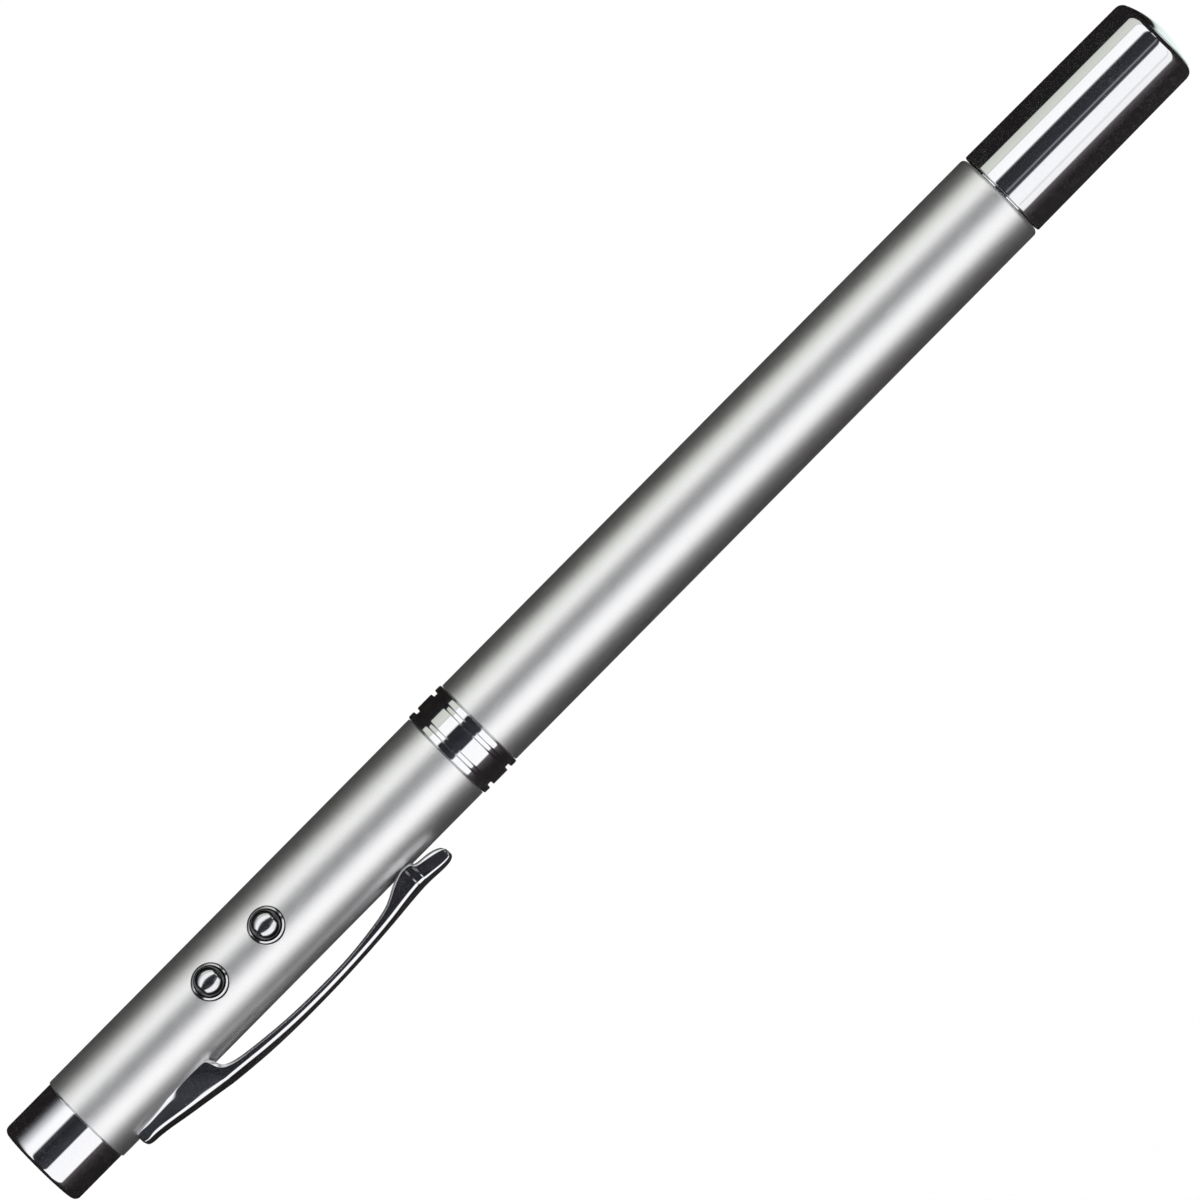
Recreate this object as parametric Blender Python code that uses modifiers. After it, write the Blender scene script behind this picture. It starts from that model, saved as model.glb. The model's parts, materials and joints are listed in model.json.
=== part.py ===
"""Slim pen with a laser pointer, a torch, a pocket clip and a telescopic pointer rod that ends in a ballpoint.

The pen's axis is X, from the flat nose face at the origin to the domed end cap. Lengths are in metres.
The pieces are laid out with the ball buttons facing +Z and the pocket clip on the -Y side.
The whole pen is then rolled a little about its axis, as it lies on a table: on its centre ring and its clip.
"""

import math

import bmesh
import bpy
from mathutils import Vector

mm = 0.001

# Facets round the pieces
outer_steps = 40
inner_steps = 20
button_steps = 20
corner_steps = 3
dome_steps = 6
ball_steps = 7
merge_distance = 0.00001
cut_overrun = 1.0 * mm

# Gaps between pieces
seam_gap = 0.05 * mm
fit_gap = 0.08 * mm
turning_gap = 0.1 * mm
running_gap = 0.12 * mm

# Button cells and the tube round them, which set the barrels' bore
cell_count = 3
cell_radius = 3.95 * mm
cell_height = 3.6 * mm
cell_rim_width = 0.55 * mm
cell_rim_height = 0.5 * mm
cell_gap = 0.1 * mm
sleeve_wall = 0.15 * mm
bore_radius = cell_radius + cell_gap + sleeve_wall + turning_gap

# Barrels and what shows between them
barrel_wall = 0.45 * mm
barrel_radius = bore_radius + barrel_wall
barrel_edge = 0.12 * mm
barrel_end_round = 0.5 * mm
front_barrel_length = 46.65 * mm
rear_barrel_length = 67.6 * mm
spigot_radius = bore_radius - fit_gap

# Nose cap with its two windows
nose_length = 5.95 * mm
nose_step = 0.15 * mm
nose_radius = barrel_radius - nose_step
nose_corner = 0.6 * mm
nose_face_wall = 0.8 * mm
nose_spigot_length = 2.6 * mm
nose_spigot_wall = 0.29 * mm
nose_bore = spigot_radius - nose_spigot_wall
laser_window_radius = 1.1 * mm
window_chamfer = 0.2 * mm

# Holder of the laser module and the torch lamp
holder_radius = nose_bore - fit_gap
holder_length = 11.2 * mm
holder_wall = 0.24 * mm
holder_web = 0.58 * mm
lamp_radius = 1.45 * mm
lamp_flange_step = 0.15 * mm
lamp_flange_height = 0.6 * mm
lamp_length = 5.3 * mm
lamp_recess = 0.2 * mm
lamp_flange_radius = lamp_radius + lamp_flange_step
lamp_bore = lamp_flange_radius + seam_gap
laser_bore = holder_radius - holder_wall - holder_web / 2 - lamp_bore
lamp_offset = holder_radius - holder_wall - lamp_bore
laser_offset = holder_radius - holder_wall - laser_bore

# Laser module
laser_housing_radius = laser_bore - seam_gap
laser_housing_length = 10.0 * mm
laser_housing_wall = 0.3 * mm
lens_ring_length = 0.45 * mm
lens_ring_wall = 0.4 * mm
lens_edge = 0.4 * mm
lens_bulge = 0.3 * mm
diode_can_radius = 0.95 * mm
diode_can_length = 2.0 * mm
diode_flange_length = 0.5 * mm
lead_radius = 0.15 * mm
lead_spacing = 1.0 * mm
lead_length = 1.5 * mm

# Circuit board and switches
board_thickness = 0.8 * mm
board_width = 7.9 * mm
board_neck_width = 6.6 * mm
board_neck_length = 6.0 * mm
board_top = 0.9 * mm
switch_length = 3.6 * mm
switch_width = 3.4 * mm
switch_height = 1.5 * mm
switch_edge = 0.2 * mm
switch_well_depth = 1.1 * mm
plunger_radius = 0.75 * mm
plunger_depth = 0.45 * mm
resistor_length = 1.6 * mm
resistor_width = 0.8 * mm
resistor_height = 0.45 * mm
resistor_spacing = 2.2 * mm

# Ball buttons and their rings
ball_radius = 1.4 * mm
ball_sink = 0.1 * mm
button_gap = 0.1 * mm
button_spacing = 7.25 * mm
button_setback = 22.35 * mm
button_flange_step = 0.25 * mm
button_flange_height = 0.35 * mm
button_neck_height = 0.15 * mm
bezel_wall = 0.22 * mm
bezel_proud = 0.08 * mm
bezel_height = 0.97 * mm
bezel_edge = 0.06 * mm

# Battery spring and contact plate
contact_thickness = 0.3 * mm
contact_inset = 0.5 * mm
spring_length = 3.3 * mm
spring_wire_radius = 0.18 * mm
spring_wide_radius = 3.0 * mm
spring_narrow_radius = 2.2 * mm
spring_turns = 4
spring_points_a_turn = 12

# Centre ring
ring_length = 4.15 * mm
ring_step = 0.16 * mm
ring_radius = barrel_radius + ring_step
ring_groove_depth = 0.36 * mm
ring_groove_width = 0.45 * mm
ring_end_band = 0.72 * mm
ring_edge = 0.08 * mm
front_spigot_length = 3.4 * mm
rear_spigot_length = 3.2 * mm
ring_pip_radius = 1.6 * mm
ring_pip_height = 0.2 * mm

# Ballpoint refill
refill_radius = 1.1 * mm
refill_setback = 6.0 * mm
refill_wall = 0.25 * mm
tip_length = 2.7 * mm
tip_shank_length = 5.0 * mm
tip_end_radius = 0.45 * mm
tip_room = 1.6 * mm
writing_ball_radius = 0.35 * mm
writing_ball_gap = 0.03 * mm
writing_ball_seat = 0.4 * mm

# Telescopic rod, from the refill outwards
rod_count = 4
rod_wall = 0.3 * mm
rod_room = 0.49 * mm
rod_step = rod_wall + running_gap
last_rod_bore = refill_radius + rod_room
rod_start_step = 0.6 * mm
rod_end_step = 0.2 * mm
rod_edge = 0.08 * mm
sleeve_bore = last_rod_bore + rod_count * rod_step
rod_sleeve_wall = 0.3 * mm
plug_length = 2.0 * mm
plug_boss_length = 1.8 * mm

# Bush that closes the rear barrel and carries the end cap
bush_depth = 6.0 * mm
bush_spigot_step = 0.15 * mm
bush_spigot_radius = bore_radius - bush_spigot_step
bush_spigot_length = 5.1 * mm
bush_chamfer = 0.3 * mm

# Nib cone that holds the refill at the rod's end
collar_length = 1.6 * mm
collar_inset = 0.15 * mm
cone_wall = 0.6 * mm
cone_neck_length = 2.6 * mm
cone_end_wall = 0.25 * mm
cone_seat_depth = 4.2 * mm

# End cap and its liner
cap_length = 20.95 * mm
cap_gap = 0.3 * mm
cap_wall = 0.475 * mm
cap_taper = 0.11 * mm
cap_corner = 1.0 * mm
cap_dome = 0.85 * mm
cap_end_wall = 2.1 * mm
cap_mouth_edge = 0.15 * mm
cap_fit_gap = 0.1 * mm
liner_wall = 0.4 * mm
liner_floor = 1.5 * mm
liner_gap = 0.7 * mm

# Pocket clip
clip_start = 8.5 * mm
clip_length = 38.1 * mm
clip_lift = 3.01 * mm
clip_half_width = 2.0 * mm
clip_seat_half_width = 2.6 * mm
clip_root_length = 9.0 * mm
clip_root_sink = 0.8 * mm
clip_fillet_length = 0.9 * mm
clip_seat_gap = 0.05 * mm
clip_bevel = 0.32 * mm
clip_under_bevel = 0.15 * mm
clip_crown = 0.12 * mm
clip_wall = 0.7 * mm
clip_roof = 0.85 * mm
clip_front_wall = 1.0 * mm
clip_hinge_inset = 0.1 * mm
tab_length = 1.7 * mm
tab_width = 1.7 * mm
tab_setback = 4.65 * mm
tab_gap = 0.15 * mm
anchor_length = 4.8 * mm
anchor_thickness = 0.25 * mm
anchor_width = 3.0 * mm

# Pocket clip's outlines: share of the clip's length, then share of its lift or of its half width
clip_outer_shares = (
    (0.0, 0.16), (0.016, 0.322), (0.047, 0.352), (0.226, 0.737), (0.37, 0.957), (0.512, 1.0),
    (0.693, 0.917), (0.871, 0.741), (0.916, 0.724), (0.965, 0.745), (0.99, 0.70), (1.0, 0.62),
)
clip_inner_shares = (
    (0.25, 0.40), (0.37, 0.61), (0.478, 0.715), (0.585, 0.722), (0.693, 0.66), (0.8, 0.49),
    (0.842, 0.22), (0.868, 0.0), (0.914, 0.0), (0.924, 0.2), (0.95, 0.27), (0.98, 0.36), (1.0, 0.46),
)
clip_width_shares = (
    (0.0, 0.66), (0.012, 0.88), (0.035, 0.985), (0.06, 1.0), (0.25, 0.98), (0.3, 0.86), (0.4, 0.75),
    (0.56, 0.72), (0.72, 0.75), (0.85, 0.85), (0.92, 0.9), (0.965, 0.8), (0.99, 0.58), (1.0, 0.42),
)
clip_station_shares = (
    0.0, 0.006, 0.016, 0.03, 0.05, 0.09, 0.14, 0.19, 0.23, 0.262, 0.28, 0.31, 0.35, 0.4, 0.46, 0.52,
    0.58, 0.64, 0.7, 0.75, 0.79, 0.815, 0.84, 0.856, 0.868, 0.89, 0.914, 0.924, 0.95, 0.97, 0.985, 0.994, 1.0,
)

# Places along the pen's axis, from the nose
front_barrel_start = nose_length + seam_gap
front_barrel_end = front_barrel_start + front_barrel_length
ring_start = front_barrel_end + seam_gap
ring_end = ring_start + ring_length
rear_barrel_start = ring_end + seam_gap
rear_barrel_end = rear_barrel_start + rear_barrel_length
cap_start = rear_barrel_end + cap_gap
cap_end = cap_start + cap_length

holder_start = nose_face_wall + seam_gap
holder_end = holder_start + holder_length
front_spigot_start = ring_start - front_spigot_length
cell_pitch = cell_height + seam_gap
cells_start = front_spigot_start - cell_count * cell_pitch - ring_pip_height
spring_start = cells_start - seam_gap - spring_length
contact_start = spring_start - seam_gap - contact_thickness
board_start = holder_end + 2 * running_gap
board_end = contact_start - seam_gap
torch_button_x = front_barrel_end - button_setback
laser_button_x = torch_button_x - button_spacing

plug_start = ring_end + rear_spigot_length + seam_gap
rod_sleeve_start = plug_start + plug_length + seam_gap
rods_start = rod_sleeve_start + plug_boss_length + seam_gap
bush_start = rear_barrel_end - bush_depth
rod_sleeve_end = bush_start - seam_gap
bush_end = rear_barrel_end + bush_spigot_length
rods_end = rear_barrel_end + seam_gap
collar_start = rods_end + rod_count * rod_end_step
liner_start = bush_end + liner_gap
cap_floor = cap_end - cap_end_wall - cap_dome
liner_end = cap_floor - seam_gap
tip_end = liner_end - liner_floor - tip_room
cone_end = tip_end - tip_length

# Heights over the axis at the buttons
ball_height = barrel_radius - ball_sink
bezel_radius = ball_radius + button_gap + bezel_wall
button_hole_radius = bezel_radius + seam_gap
bezel_top = barrel_radius + bezel_proud
bezel_bottom = bezel_top - bezel_height
button_flange_top = bezel_bottom - seam_gap
button_bottom = button_flange_top - button_flange_height
switch_top = board_top + seam_gap + switch_height


def clear_scene():
    for obj in list(bpy.data.objects):
        bpy.data.objects.remove(obj)


def rolled_angle():
    """How far the pen rolls from clip level until the clip touches what the centre ring lies on."""
    least = math.pi / 2
    for share in clip_station_shares:
        for side, height in clip_section(share):
            reach = math.hypot(side, height)
            if reach > ring_radius:
                least = min(least, math.asin(ring_radius / reach) - math.atan2(side, height))
    return least


def collection(name):
    made = bpy.data.collections.new(name)
    bpy.context.scene.collection.children.link(made)
    return made


def finish(name, colour, roughness, metallic):
    """One material of the pen."""
    made = bpy.data.materials.new(name)
    made.use_nodes = True
    shader = made.node_tree.nodes["Principled BSDF"]
    shader.inputs["Base Color"].default_value = (*colour, 1)
    shader.inputs["Roughness"].default_value = roughness
    shader.inputs["Metallic"].default_value = metallic
    return made


def place(name, mesh, material, parent, location=(0, 0, 0), rotation=(0, 0, 0)):
    """An object of the pen, at a place in the world, under the empty that moves it."""
    obj = bpy.data.objects.new(name, mesh)
    pen.objects.link(obj)
    obj.data.materials.append(material)
    obj.parent = parent
    obj.location = Vector(location) - parent.location
    obj.rotation_euler = rotation
    return obj


def turned_mesh(name, profile):
    """The profile of a turned piece, as (height, radius) points, running down its outer side."""
    area = 0
    for (h, r), (next_h, next_r) in zip(profile, profile[1:] + profile[:1]):
        area += r * next_h - next_r * h
    if area > 0:
        profile = profile[::-1]
    closed = all(r > 0 for _, r in profile)
    if not closed:
        first = next(i for i in range(len(profile)) if profile[i][1] == 0 and profile[i - 1][1] == 0)
        profile = profile[first:] + profile[:first]
    count = len(profile)
    edges = [(i, i + 1) for i in range(count - 1)]
    if closed:
        edges.append((count - 1, 0))
    mesh = bpy.data.meshes.new(name)
    mesh.from_pydata([(r, 0, h) for h, r in profile], edges, [])
    return mesh


def spin(obj, steps):
    screw = obj.modifiers.new("Screw", "SCREW")
    screw.axis = "Z"
    screw.steps = steps
    screw.render_steps = steps
    screw.use_smooth_shade = True
    screw.use_merge_vertices = True
    screw.merge_threshold = merge_distance


def turned(name, profile, material, parent, steps=outer_steps):
    """A piece turned about the pen's axis: its profile is (place along the pen, radius) points."""
    start = profile[0][0]
    local = [(x - start, r) for x, r in profile]
    along_pen = (0, math.pi / 2, 0)
    obj = place(name, turned_mesh(name, local), material, parent, (start, 0, 0), along_pen)
    spin(obj, steps)
    return obj


def turned_beside(name, profile, material, parent, offset, steps=inner_steps):
    """As turned, about a line beside the pen's axis, at a height over it."""
    obj = turned(name, profile, material, parent, steps)
    obj.location.z += offset
    return obj


def turned_up(name, profile, material, parent, x, steps=button_steps):
    """A piece turned about an upright line through the pen's axis: (height over the axis, radius) points."""
    base = min(h for h, _ in profile)
    local = [(h - base, r) for h, r in profile]
    obj = place(name, turned_mesh(name, local), material, parent, (x, 0, base))
    spin(obj, steps)
    return obj


def arc(centre_h, centre_r, radius, start, end, steps):
    """Points of a round stretch of a profile. Angle 0 points along the height, 90 degrees outwards."""
    points = []
    for i in range(steps + 1):
        angle = math.radians(start + (end - start) * i / steps)
        points.append((centre_h + radius * math.cos(angle), centre_r + radius * math.sin(angle)))
    return points


def tube(start, end, inner, outer, edge):
    """Profile of a tube with its outer edges chamfered."""
    return [
        (start, inner), (start, outer - edge), (start + edge, outer),
        (end - edge, outer), (end, outer - edge), (end, inner),
    ]


def cutter_object(name, mesh, location=(0, 0, 0), rotation=(0, 0, 0)):
    obj = bpy.data.objects.new(name, mesh)
    cutters.objects.link(obj)
    obj.parent = lying_pen
    obj.location = location
    obj.rotation_euler = rotation
    obj.hide_render = True
    obj.display_type = "WIRE"
    return obj


def round_cutter(name, radius, length, location, rotation=(0, 0, 0), far_radius=None, steps=inner_steps):
    mesh = bpy.data.meshes.new(name)
    bm = bmesh.new()
    bmesh.ops.create_cone(
        bm, cap_ends=True, segments=steps, radius1=radius, radius2=radius if far_radius is None else far_radius,
        depth=length,
    )
    bm.to_mesh(mesh)
    bm.free()
    return cutter_object(name, mesh, location, rotation)


def box_mesh(name, size):
    mesh = bpy.data.meshes.new(name)
    bm = bmesh.new()
    bmesh.ops.create_cube(bm, size=1)
    bmesh.ops.scale(bm, vec=size, verts=bm.verts)
    bm.to_mesh(mesh)
    bm.free()
    return mesh


def box_cutter(name, size, location):
    return cutter_object(name, box_mesh(name, size), location)


def combine(obj, other, operation="DIFFERENCE"):
    boolean = obj.modifiers.new("Boolean", "BOOLEAN")
    boolean.operation = operation
    boolean.solver = "EXACT"
    boolean.object = other
    return boolean


def smooth_share(table, at):
    """A smooth curve through a table of (place, value) shares, read at one place."""
    last = len(table) - 1
    i = next((n for n in range(last) if at <= table[n + 1][0]), last - 1)
    slopes = []
    for n in (i, i + 1):
        before, after = table[max(n - 1, 0)], table[min(n + 1, last)]
        slopes.append((after[1] - before[1]) / (after[0] - before[0]))
    (x0, y0), (x1, y1) = table[i], table[i + 1]
    width = x1 - x0
    t = (at - x0) / width
    ends = y0 * (1 + 2 * t) * (1 - t) ** 2 + y1 * t * t * (3 - 2 * t)
    return ends + width * (slopes[0] * t * (1 - t) ** 2 + slopes[1] * t * t * (t - 1))


def loft_mesh(name, rings):
    """A closed skin through rings of as many points each, with flat ends."""
    mesh = bpy.data.meshes.new(name)
    bm = bmesh.new()
    verts = [[bm.verts.new(p) for p in ring] for ring in rings]
    count = len(verts[0])
    for near, far in zip(verts, verts[1:]):
        for i in range(count):
            j = (i + 1) % count
            bm.faces.new((near[i], near[j], far[j], far[i]))
    bm.faces.new(verts[0][::-1])
    bm.faces.new(verts[-1])
    bmesh.ops.recalc_face_normals(bm, faces=bm.faces)
    bm.to_mesh(mesh)
    bm.free()
    mesh.shade_smooth()
    return mesh


def empty(name, location, parent=None):
    """An empty that carries the pieces of one body, on its joint's axis."""
    obj = bpy.data.objects.new(name, None)
    pen.objects.link(obj)
    obj.parent = parent
    obj.location = location
    return obj


def make_nose_cap():
    profile = [(0, 0)]
    profile += arc(nose_corner, nose_radius - nose_corner, nose_corner, 180, 90, corner_steps)
    profile += [
        (nose_length, nose_radius), (nose_length, spigot_radius),
        (nose_length + nose_spigot_length, spigot_radius), (nose_length + nose_spigot_length, nose_bore),
        (nose_face_wall, nose_bore), (nose_face_wall, 0),
    ]
    cap = turned("nose_cap", profile, chrome, front_section)
    lamp_window = lamp_radius + seam_gap
    for name, offset, radius in (
        ("laser_window", laser_offset, laser_window_radius),
        ("lamp_window", -lamp_offset, lamp_window),
    ):
        length = nose_face_wall + 2 * cut_overrun
        middle = (nose_face_wall / 2, 0, offset)
        combine(cap, round_cutter(name, radius, length, middle, (0, math.pi / 2, 0)))
    mouth_depth = window_chamfer + cut_overrun
    flare = laser_window_radius + mouth_depth
    mouth_middle = (window_chamfer - mouth_depth / 2, 0, laser_offset)
    mouth = round_cutter(
        "laser_mouth", flare, mouth_depth, mouth_middle, (0, math.pi / 2, 0), laser_window_radius
    )
    combine(cap, mouth)


def make_holder():
    profile = [(holder_start, 0), (holder_start, holder_radius), (holder_end, holder_radius), (holder_end, 0)]
    holder = turned("module_holder", profile, black_plastic, front_section, inner_steps)
    length = holder_length + 2 * cut_overrun
    middle = (holder_start + holder_end) / 2
    for name, offset, radius in (
        ("laser_bore", laser_offset, laser_bore),
        ("lamp_bore", -lamp_offset, lamp_bore),
    ):
        combine(holder, round_cutter(name, radius, length, (middle, 0, offset), (0, math.pi / 2, 0)))


def make_laser():
    start = holder_start + seam_gap
    end = start + laser_housing_length
    bore = laser_housing_radius - laser_housing_wall
    turned_beside(
        "laser_housing", tube(start, end, bore, laser_housing_radius, seam_gap), brass, front_section, laser_offset
    )
    inner = bore - seam_gap
    ring_end_x = start + lens_ring_length
    turned_beside(
        "lens_ring", tube(start, ring_end_x, inner - lens_ring_wall, inner, seam_gap), brass, front_section,
        laser_offset,
    )
    lens_start = ring_end_x + seam_gap
    half_edge = lens_edge / 2
    middle = lens_start + lens_bulge + half_edge
    lens = [
        (lens_start, 0), (lens_start + lens_bulge * 0.25, inner / 2), (middle - half_edge, inner),
        (middle + half_edge, inner), (middle + half_edge + lens_bulge * 0.75, inner / 2),
        (middle + half_edge + lens_bulge, 0),
    ]
    turned_beside("laser_lens", lens, clear, front_section, laser_offset)
    flange_end = end - seam_gap
    flange_start = flange_end - diode_flange_length
    diode = [
        (flange_start - diode_can_length, 0), (flange_start - diode_can_length, diode_can_radius),
        (flange_start, diode_can_radius), (flange_start, inner), (flange_end, inner), (flange_end, 0),
    ]
    turned_beside("laser_diode", diode, brass, front_section, laser_offset)
    make_leads("laser_lead", flange_end + seam_gap, laser_offset)


def make_lamp():
    start = lamp_recess
    end = start + lamp_length
    profile = arc(start + lamp_radius, 0, lamp_radius, 180, 90, dome_steps)
    profile += [
        (end - lamp_flange_height, lamp_radius), (end - lamp_flange_height, lamp_flange_radius),
        (end, lamp_flange_radius), (end, 0),
    ]
    turned_beside("torch_lamp", round_off(profile), clear, front_section, -lamp_offset)
    make_leads("torch_lead", end + seam_gap, -lamp_offset)


def round_off(profile):
    """The profile with its first point set on the axis."""
    return [(profile[0][0], 0)] + profile[1:]


def make_leads(name, start, height):
    """The two legs of a diode, as bare wires."""
    for number, side in ((1, 1), (2, -1)):
        profile = [(start, 0), (start, lead_radius), (start + lead_length, lead_radius), (start + lead_length, 0)]
        lead = turned_beside(f"{name}_{number}", profile, steel, front_section, height, steps=8)
        lead.location.y = side * lead_spacing / 2


def make_board():
    """The circuit board, with a narrow neck beside the clip's anchor plate."""
    neck_end = board_start + board_neck_length
    half, neck = board_width / 2, board_neck_width / 2
    outline = [
        (board_start, -neck), (neck_end, -neck), (neck_end, -half), (board_end, -half),
        (board_end, half), (neck_end, half), (neck_end, neck), (board_start, neck),
    ]
    curve = bpy.data.curves.new("circuit_board", "CURVE")
    curve.dimensions = "2D"
    curve.fill_mode = "BOTH"
    curve.extrude = board_thickness / 2
    spline = curve.splines.new("POLY")
    spline.points.add(len(outline) - 1)
    for point, (x, y) in zip(spline.points, outline):
        point.co = (x - board_start, y, 0, 1)
    spline.use_cyclic_u = True
    place("circuit_board", curve, board_green, front_section, (board_start, 0, board_top - board_thickness / 2))


def bevelled_box(name, size, location, material, parent, width):
    obj = place(name, box_mesh(name, size), material, parent, location)
    bevel = obj.modifiers.new("Bevel", "BEVEL")
    bevel.width = width
    bevel.segments = 1
    return obj


def make_switch(name, x):
    """A button switch on the board, with a well for its plunger."""
    size = (switch_length, switch_width, switch_height)
    middle = switch_top - switch_height / 2
    body = bevelled_box(f"{name}_switch", size, (x, 0, middle), black_plastic, front_section, switch_edge)
    depth = switch_well_depth + cut_overrun
    well_middle = switch_top + cut_overrun - depth / 2
    combine(body, round_cutter(f"{name}_well", plunger_radius + running_gap, depth, (x, 0, well_middle)))


def make_resistor(number, side):
    """One of the two resistors between the switches."""
    size = (resistor_length, resistor_width, resistor_height)
    x = (laser_button_x + torch_button_x) / 2
    height = board_top + seam_gap + resistor_height / 2
    middle = (x, side * resistor_spacing / 2, height)
    bevelled_box(f"resistor_{number}", size, middle, black_plastic, front_section, seam_gap)


def make_button(name, x, body):
    """A ball button with its captive flange, and the plunger under it."""
    drop = ball_height - button_flange_top - button_neck_height
    last_angle = math.degrees(math.pi - math.acos(drop / ball_radius))
    profile = round_off(arc(ball_height, 0, ball_radius, 0, last_angle, ball_steps))
    neck = ball_radius * math.sin(math.radians(last_angle))
    flange = ball_radius + button_flange_step
    profile += [
        (button_flange_top, neck), (button_flange_top, flange), (button_bottom, flange), (button_bottom, 0),
    ]
    turned_up(f"{name}_button", profile, chrome, body, x)
    top = button_bottom - seam_gap
    bottom = switch_top - plunger_depth
    stem = [(top, 0), (top, plunger_radius), (bottom, plunger_radius), (bottom, 0)]
    turned_up(f"{name}_plunger", stem, black_plastic, body, x)


def make_bezel(name, x):
    inner = ball_radius + button_gap
    profile = [
        (bezel_top, inner + bezel_edge), (bezel_top, bezel_radius - bezel_edge),
        (bezel_top - bezel_edge, bezel_radius), (bezel_bottom, bezel_radius), (bezel_bottom, inner),
        (bezel_top - bezel_edge, inner),
    ]
    turned_up(f"{name}_bezel", profile, chrome, front_section, x)


def make_front_barrel():
    profile = tube(front_barrel_start, front_barrel_end, bore_radius, barrel_radius, barrel_edge)
    barrel = turned("front_barrel", profile, satin, front_section)
    wall_middle = barrel_radius - barrel_wall / 2
    length = 2 * cut_overrun + barrel_wall
    for name, x in (("laser", laser_button_x), ("torch", torch_button_x)):
        hole = round_cutter(
            f"{name}_hole", button_hole_radius, length, (x, 0, wall_middle), steps=button_steps
        )
        combine(barrel, hole)
    slot_size = (tab_length + 2 * tab_gap, length, tab_width + 2 * tab_gap)
    slot = box_cutter("clip_slot", slot_size, (clip_start + tab_setback + tab_length / 2, -wall_middle, 0))
    combine(barrel, slot)


def clip_place(share):
    return clip_start + clip_length * share


def clip_outer(share):
    return barrel_radius + clip_lift * smooth_share(clip_outer_shares, share)


def clip_width(share):
    return clip_half_width * smooth_share(clip_width_shares, share)


def clip_inner(share):
    """Height of the clip's underside: side walls down to the barrel at the root, then a free strip and a foot."""
    floor = barrel_radius + clip_seat_gap
    strip = floor + clip_lift * max(0, smooth_share(clip_inner_shares, share))
    root_bottom = barrel_radius - clip_root_sink
    past_root = (share * clip_length - clip_root_length) / clip_fillet_length
    if past_root <= 0:
        return root_bottom
    if past_root >= 1:
        return strip
    return strip - (strip - root_bottom) * (1 - math.sqrt(past_root))


def clip_spread(share):
    """How far the root's side walls spread towards the barrel, down to nothing along the free strip."""
    spread = (clip_seat_half_width - clip_half_width) * smooth_share(clip_width_shares, share)
    past_root = (share * clip_length - clip_root_length) / clip_fillet_length
    if past_root <= 0:
        return spread
    return spread * max(0, 1 - math.sqrt(past_root))


def clip_section(share):
    """One section of the clip, crowned outside and bevelled along its edges: (side, height) points."""
    outer, inner, half = clip_outer(share), clip_inner(share), clip_width(share)
    seat = half + clip_spread(share)
    crown = outer - clip_crown
    bevel = min(clip_bevel, (crown - inner) / 3, half / 3)
    under = min(clip_under_bevel, (crown - inner) / 4)
    right = [
        (seat - under, inner), (seat, inner + under), (half, crown - bevel), (half - bevel, crown),
        (half / 2, outer - clip_crown / 4),
    ]
    left = [(-side, height) for side, height in right[::-1]]
    return right + [(0, outer)] + left


def clip_ring(share, section):
    """A section's points in the clip's own frame."""
    x = clip_place(share) - clip_hinge.x
    return [(x, -height - clip_hinge.y, side) for side, height in section]


def make_clip():
    """The sprung pocket clip: a channel at its root, a crowned strip, a foot and a lifted tongue."""
    rings = [clip_ring(share, clip_section(share)) for share in clip_station_shares]
    clip = place("clip", loft_mesh("clip", rings), chrome, clip_body, clip_hinge)

    hollow_start = clip_front_wall / clip_length
    hollow_end = (clip_root_length + 2 * clip_fillet_length) / clip_length
    hollow_rings = []
    for share in [hollow_start] + [s for s in clip_station_shares if hollow_start < s < hollow_end] + [hollow_end]:
        half = clip_half_width - clip_wall
        top = clip_outer(share) - clip_roof
        bottom = barrel_radius - clip_root_sink - cut_overrun
        hollow_rings.append(clip_ring(share, ((half, bottom), (half, top), (-half, top), (-half, bottom))))
    combine(clip, cutter_object("clip_hollow", loft_mesh("clip_hollow", hollow_rings), clip_hinge))

    barrel_length = clip_length + 2 * cut_overrun
    barrel_middle = (clip_start + clip_length / 2, 0, 0)
    seat = round_cutter(
        "clip_seat", barrel_radius + clip_seat_gap, barrel_length, barrel_middle, (0, math.pi / 2, 0),
        steps=outer_steps,
    )
    combine(clip, seat)

    tab_middle_share = (tab_setback + tab_length / 2) / clip_length
    tab_top = clip_outer(tab_middle_share) - clip_roof / 2
    tab_bottom = bore_radius + seam_gap
    tab_size = (tab_length, tab_top - tab_bottom, tab_width)
    tab_place = (clip_place(tab_middle_share), -(tab_top + tab_bottom) / 2, 0)
    combine(clip, box_cutter("clip_tab", tab_size, tab_place), "UNION")


def make_clip_anchor():
    """A curved plate inside the barrel, behind the clip's tab."""
    outer = spigot_radius - seam_gap
    middle = clip_start + tab_setback + tab_length / 2
    start, end = middle - anchor_length / 2, middle + anchor_length / 2
    profile = [(start, outer - anchor_thickness), (start, outer), (end, outer), (end, outer - anchor_thickness)]
    anchor = turned("clip_anchor", profile, steel, front_section)
    depth = spigot_radius
    block = box_cutter(
        "anchor_block", (anchor_length + 2 * cut_overrun, depth, anchor_width), (middle, -depth, 0)
    )
    combine(anchor, block, "INTERSECT")


def make_battery_parts():
    outer = bore_radius - turning_gap
    turned(
        "insulating_sleeve",
        tube(spring_start, front_spigot_start - seam_gap, outer - sleeve_wall, outer, seam_gap),
        white_plastic, front_section,
    )
    radius = cell_radius - contact_inset
    contact_end = contact_start + contact_thickness
    plate = [(contact_start, 0), (contact_start, radius), (contact_end, radius), (contact_end, 0)]
    turned("battery_contact", plate, brass, front_section, inner_steps)
    make_spring()
    for number in range(cell_count):
        make_cell(number + 1, cells_start + number * cell_pitch)


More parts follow.
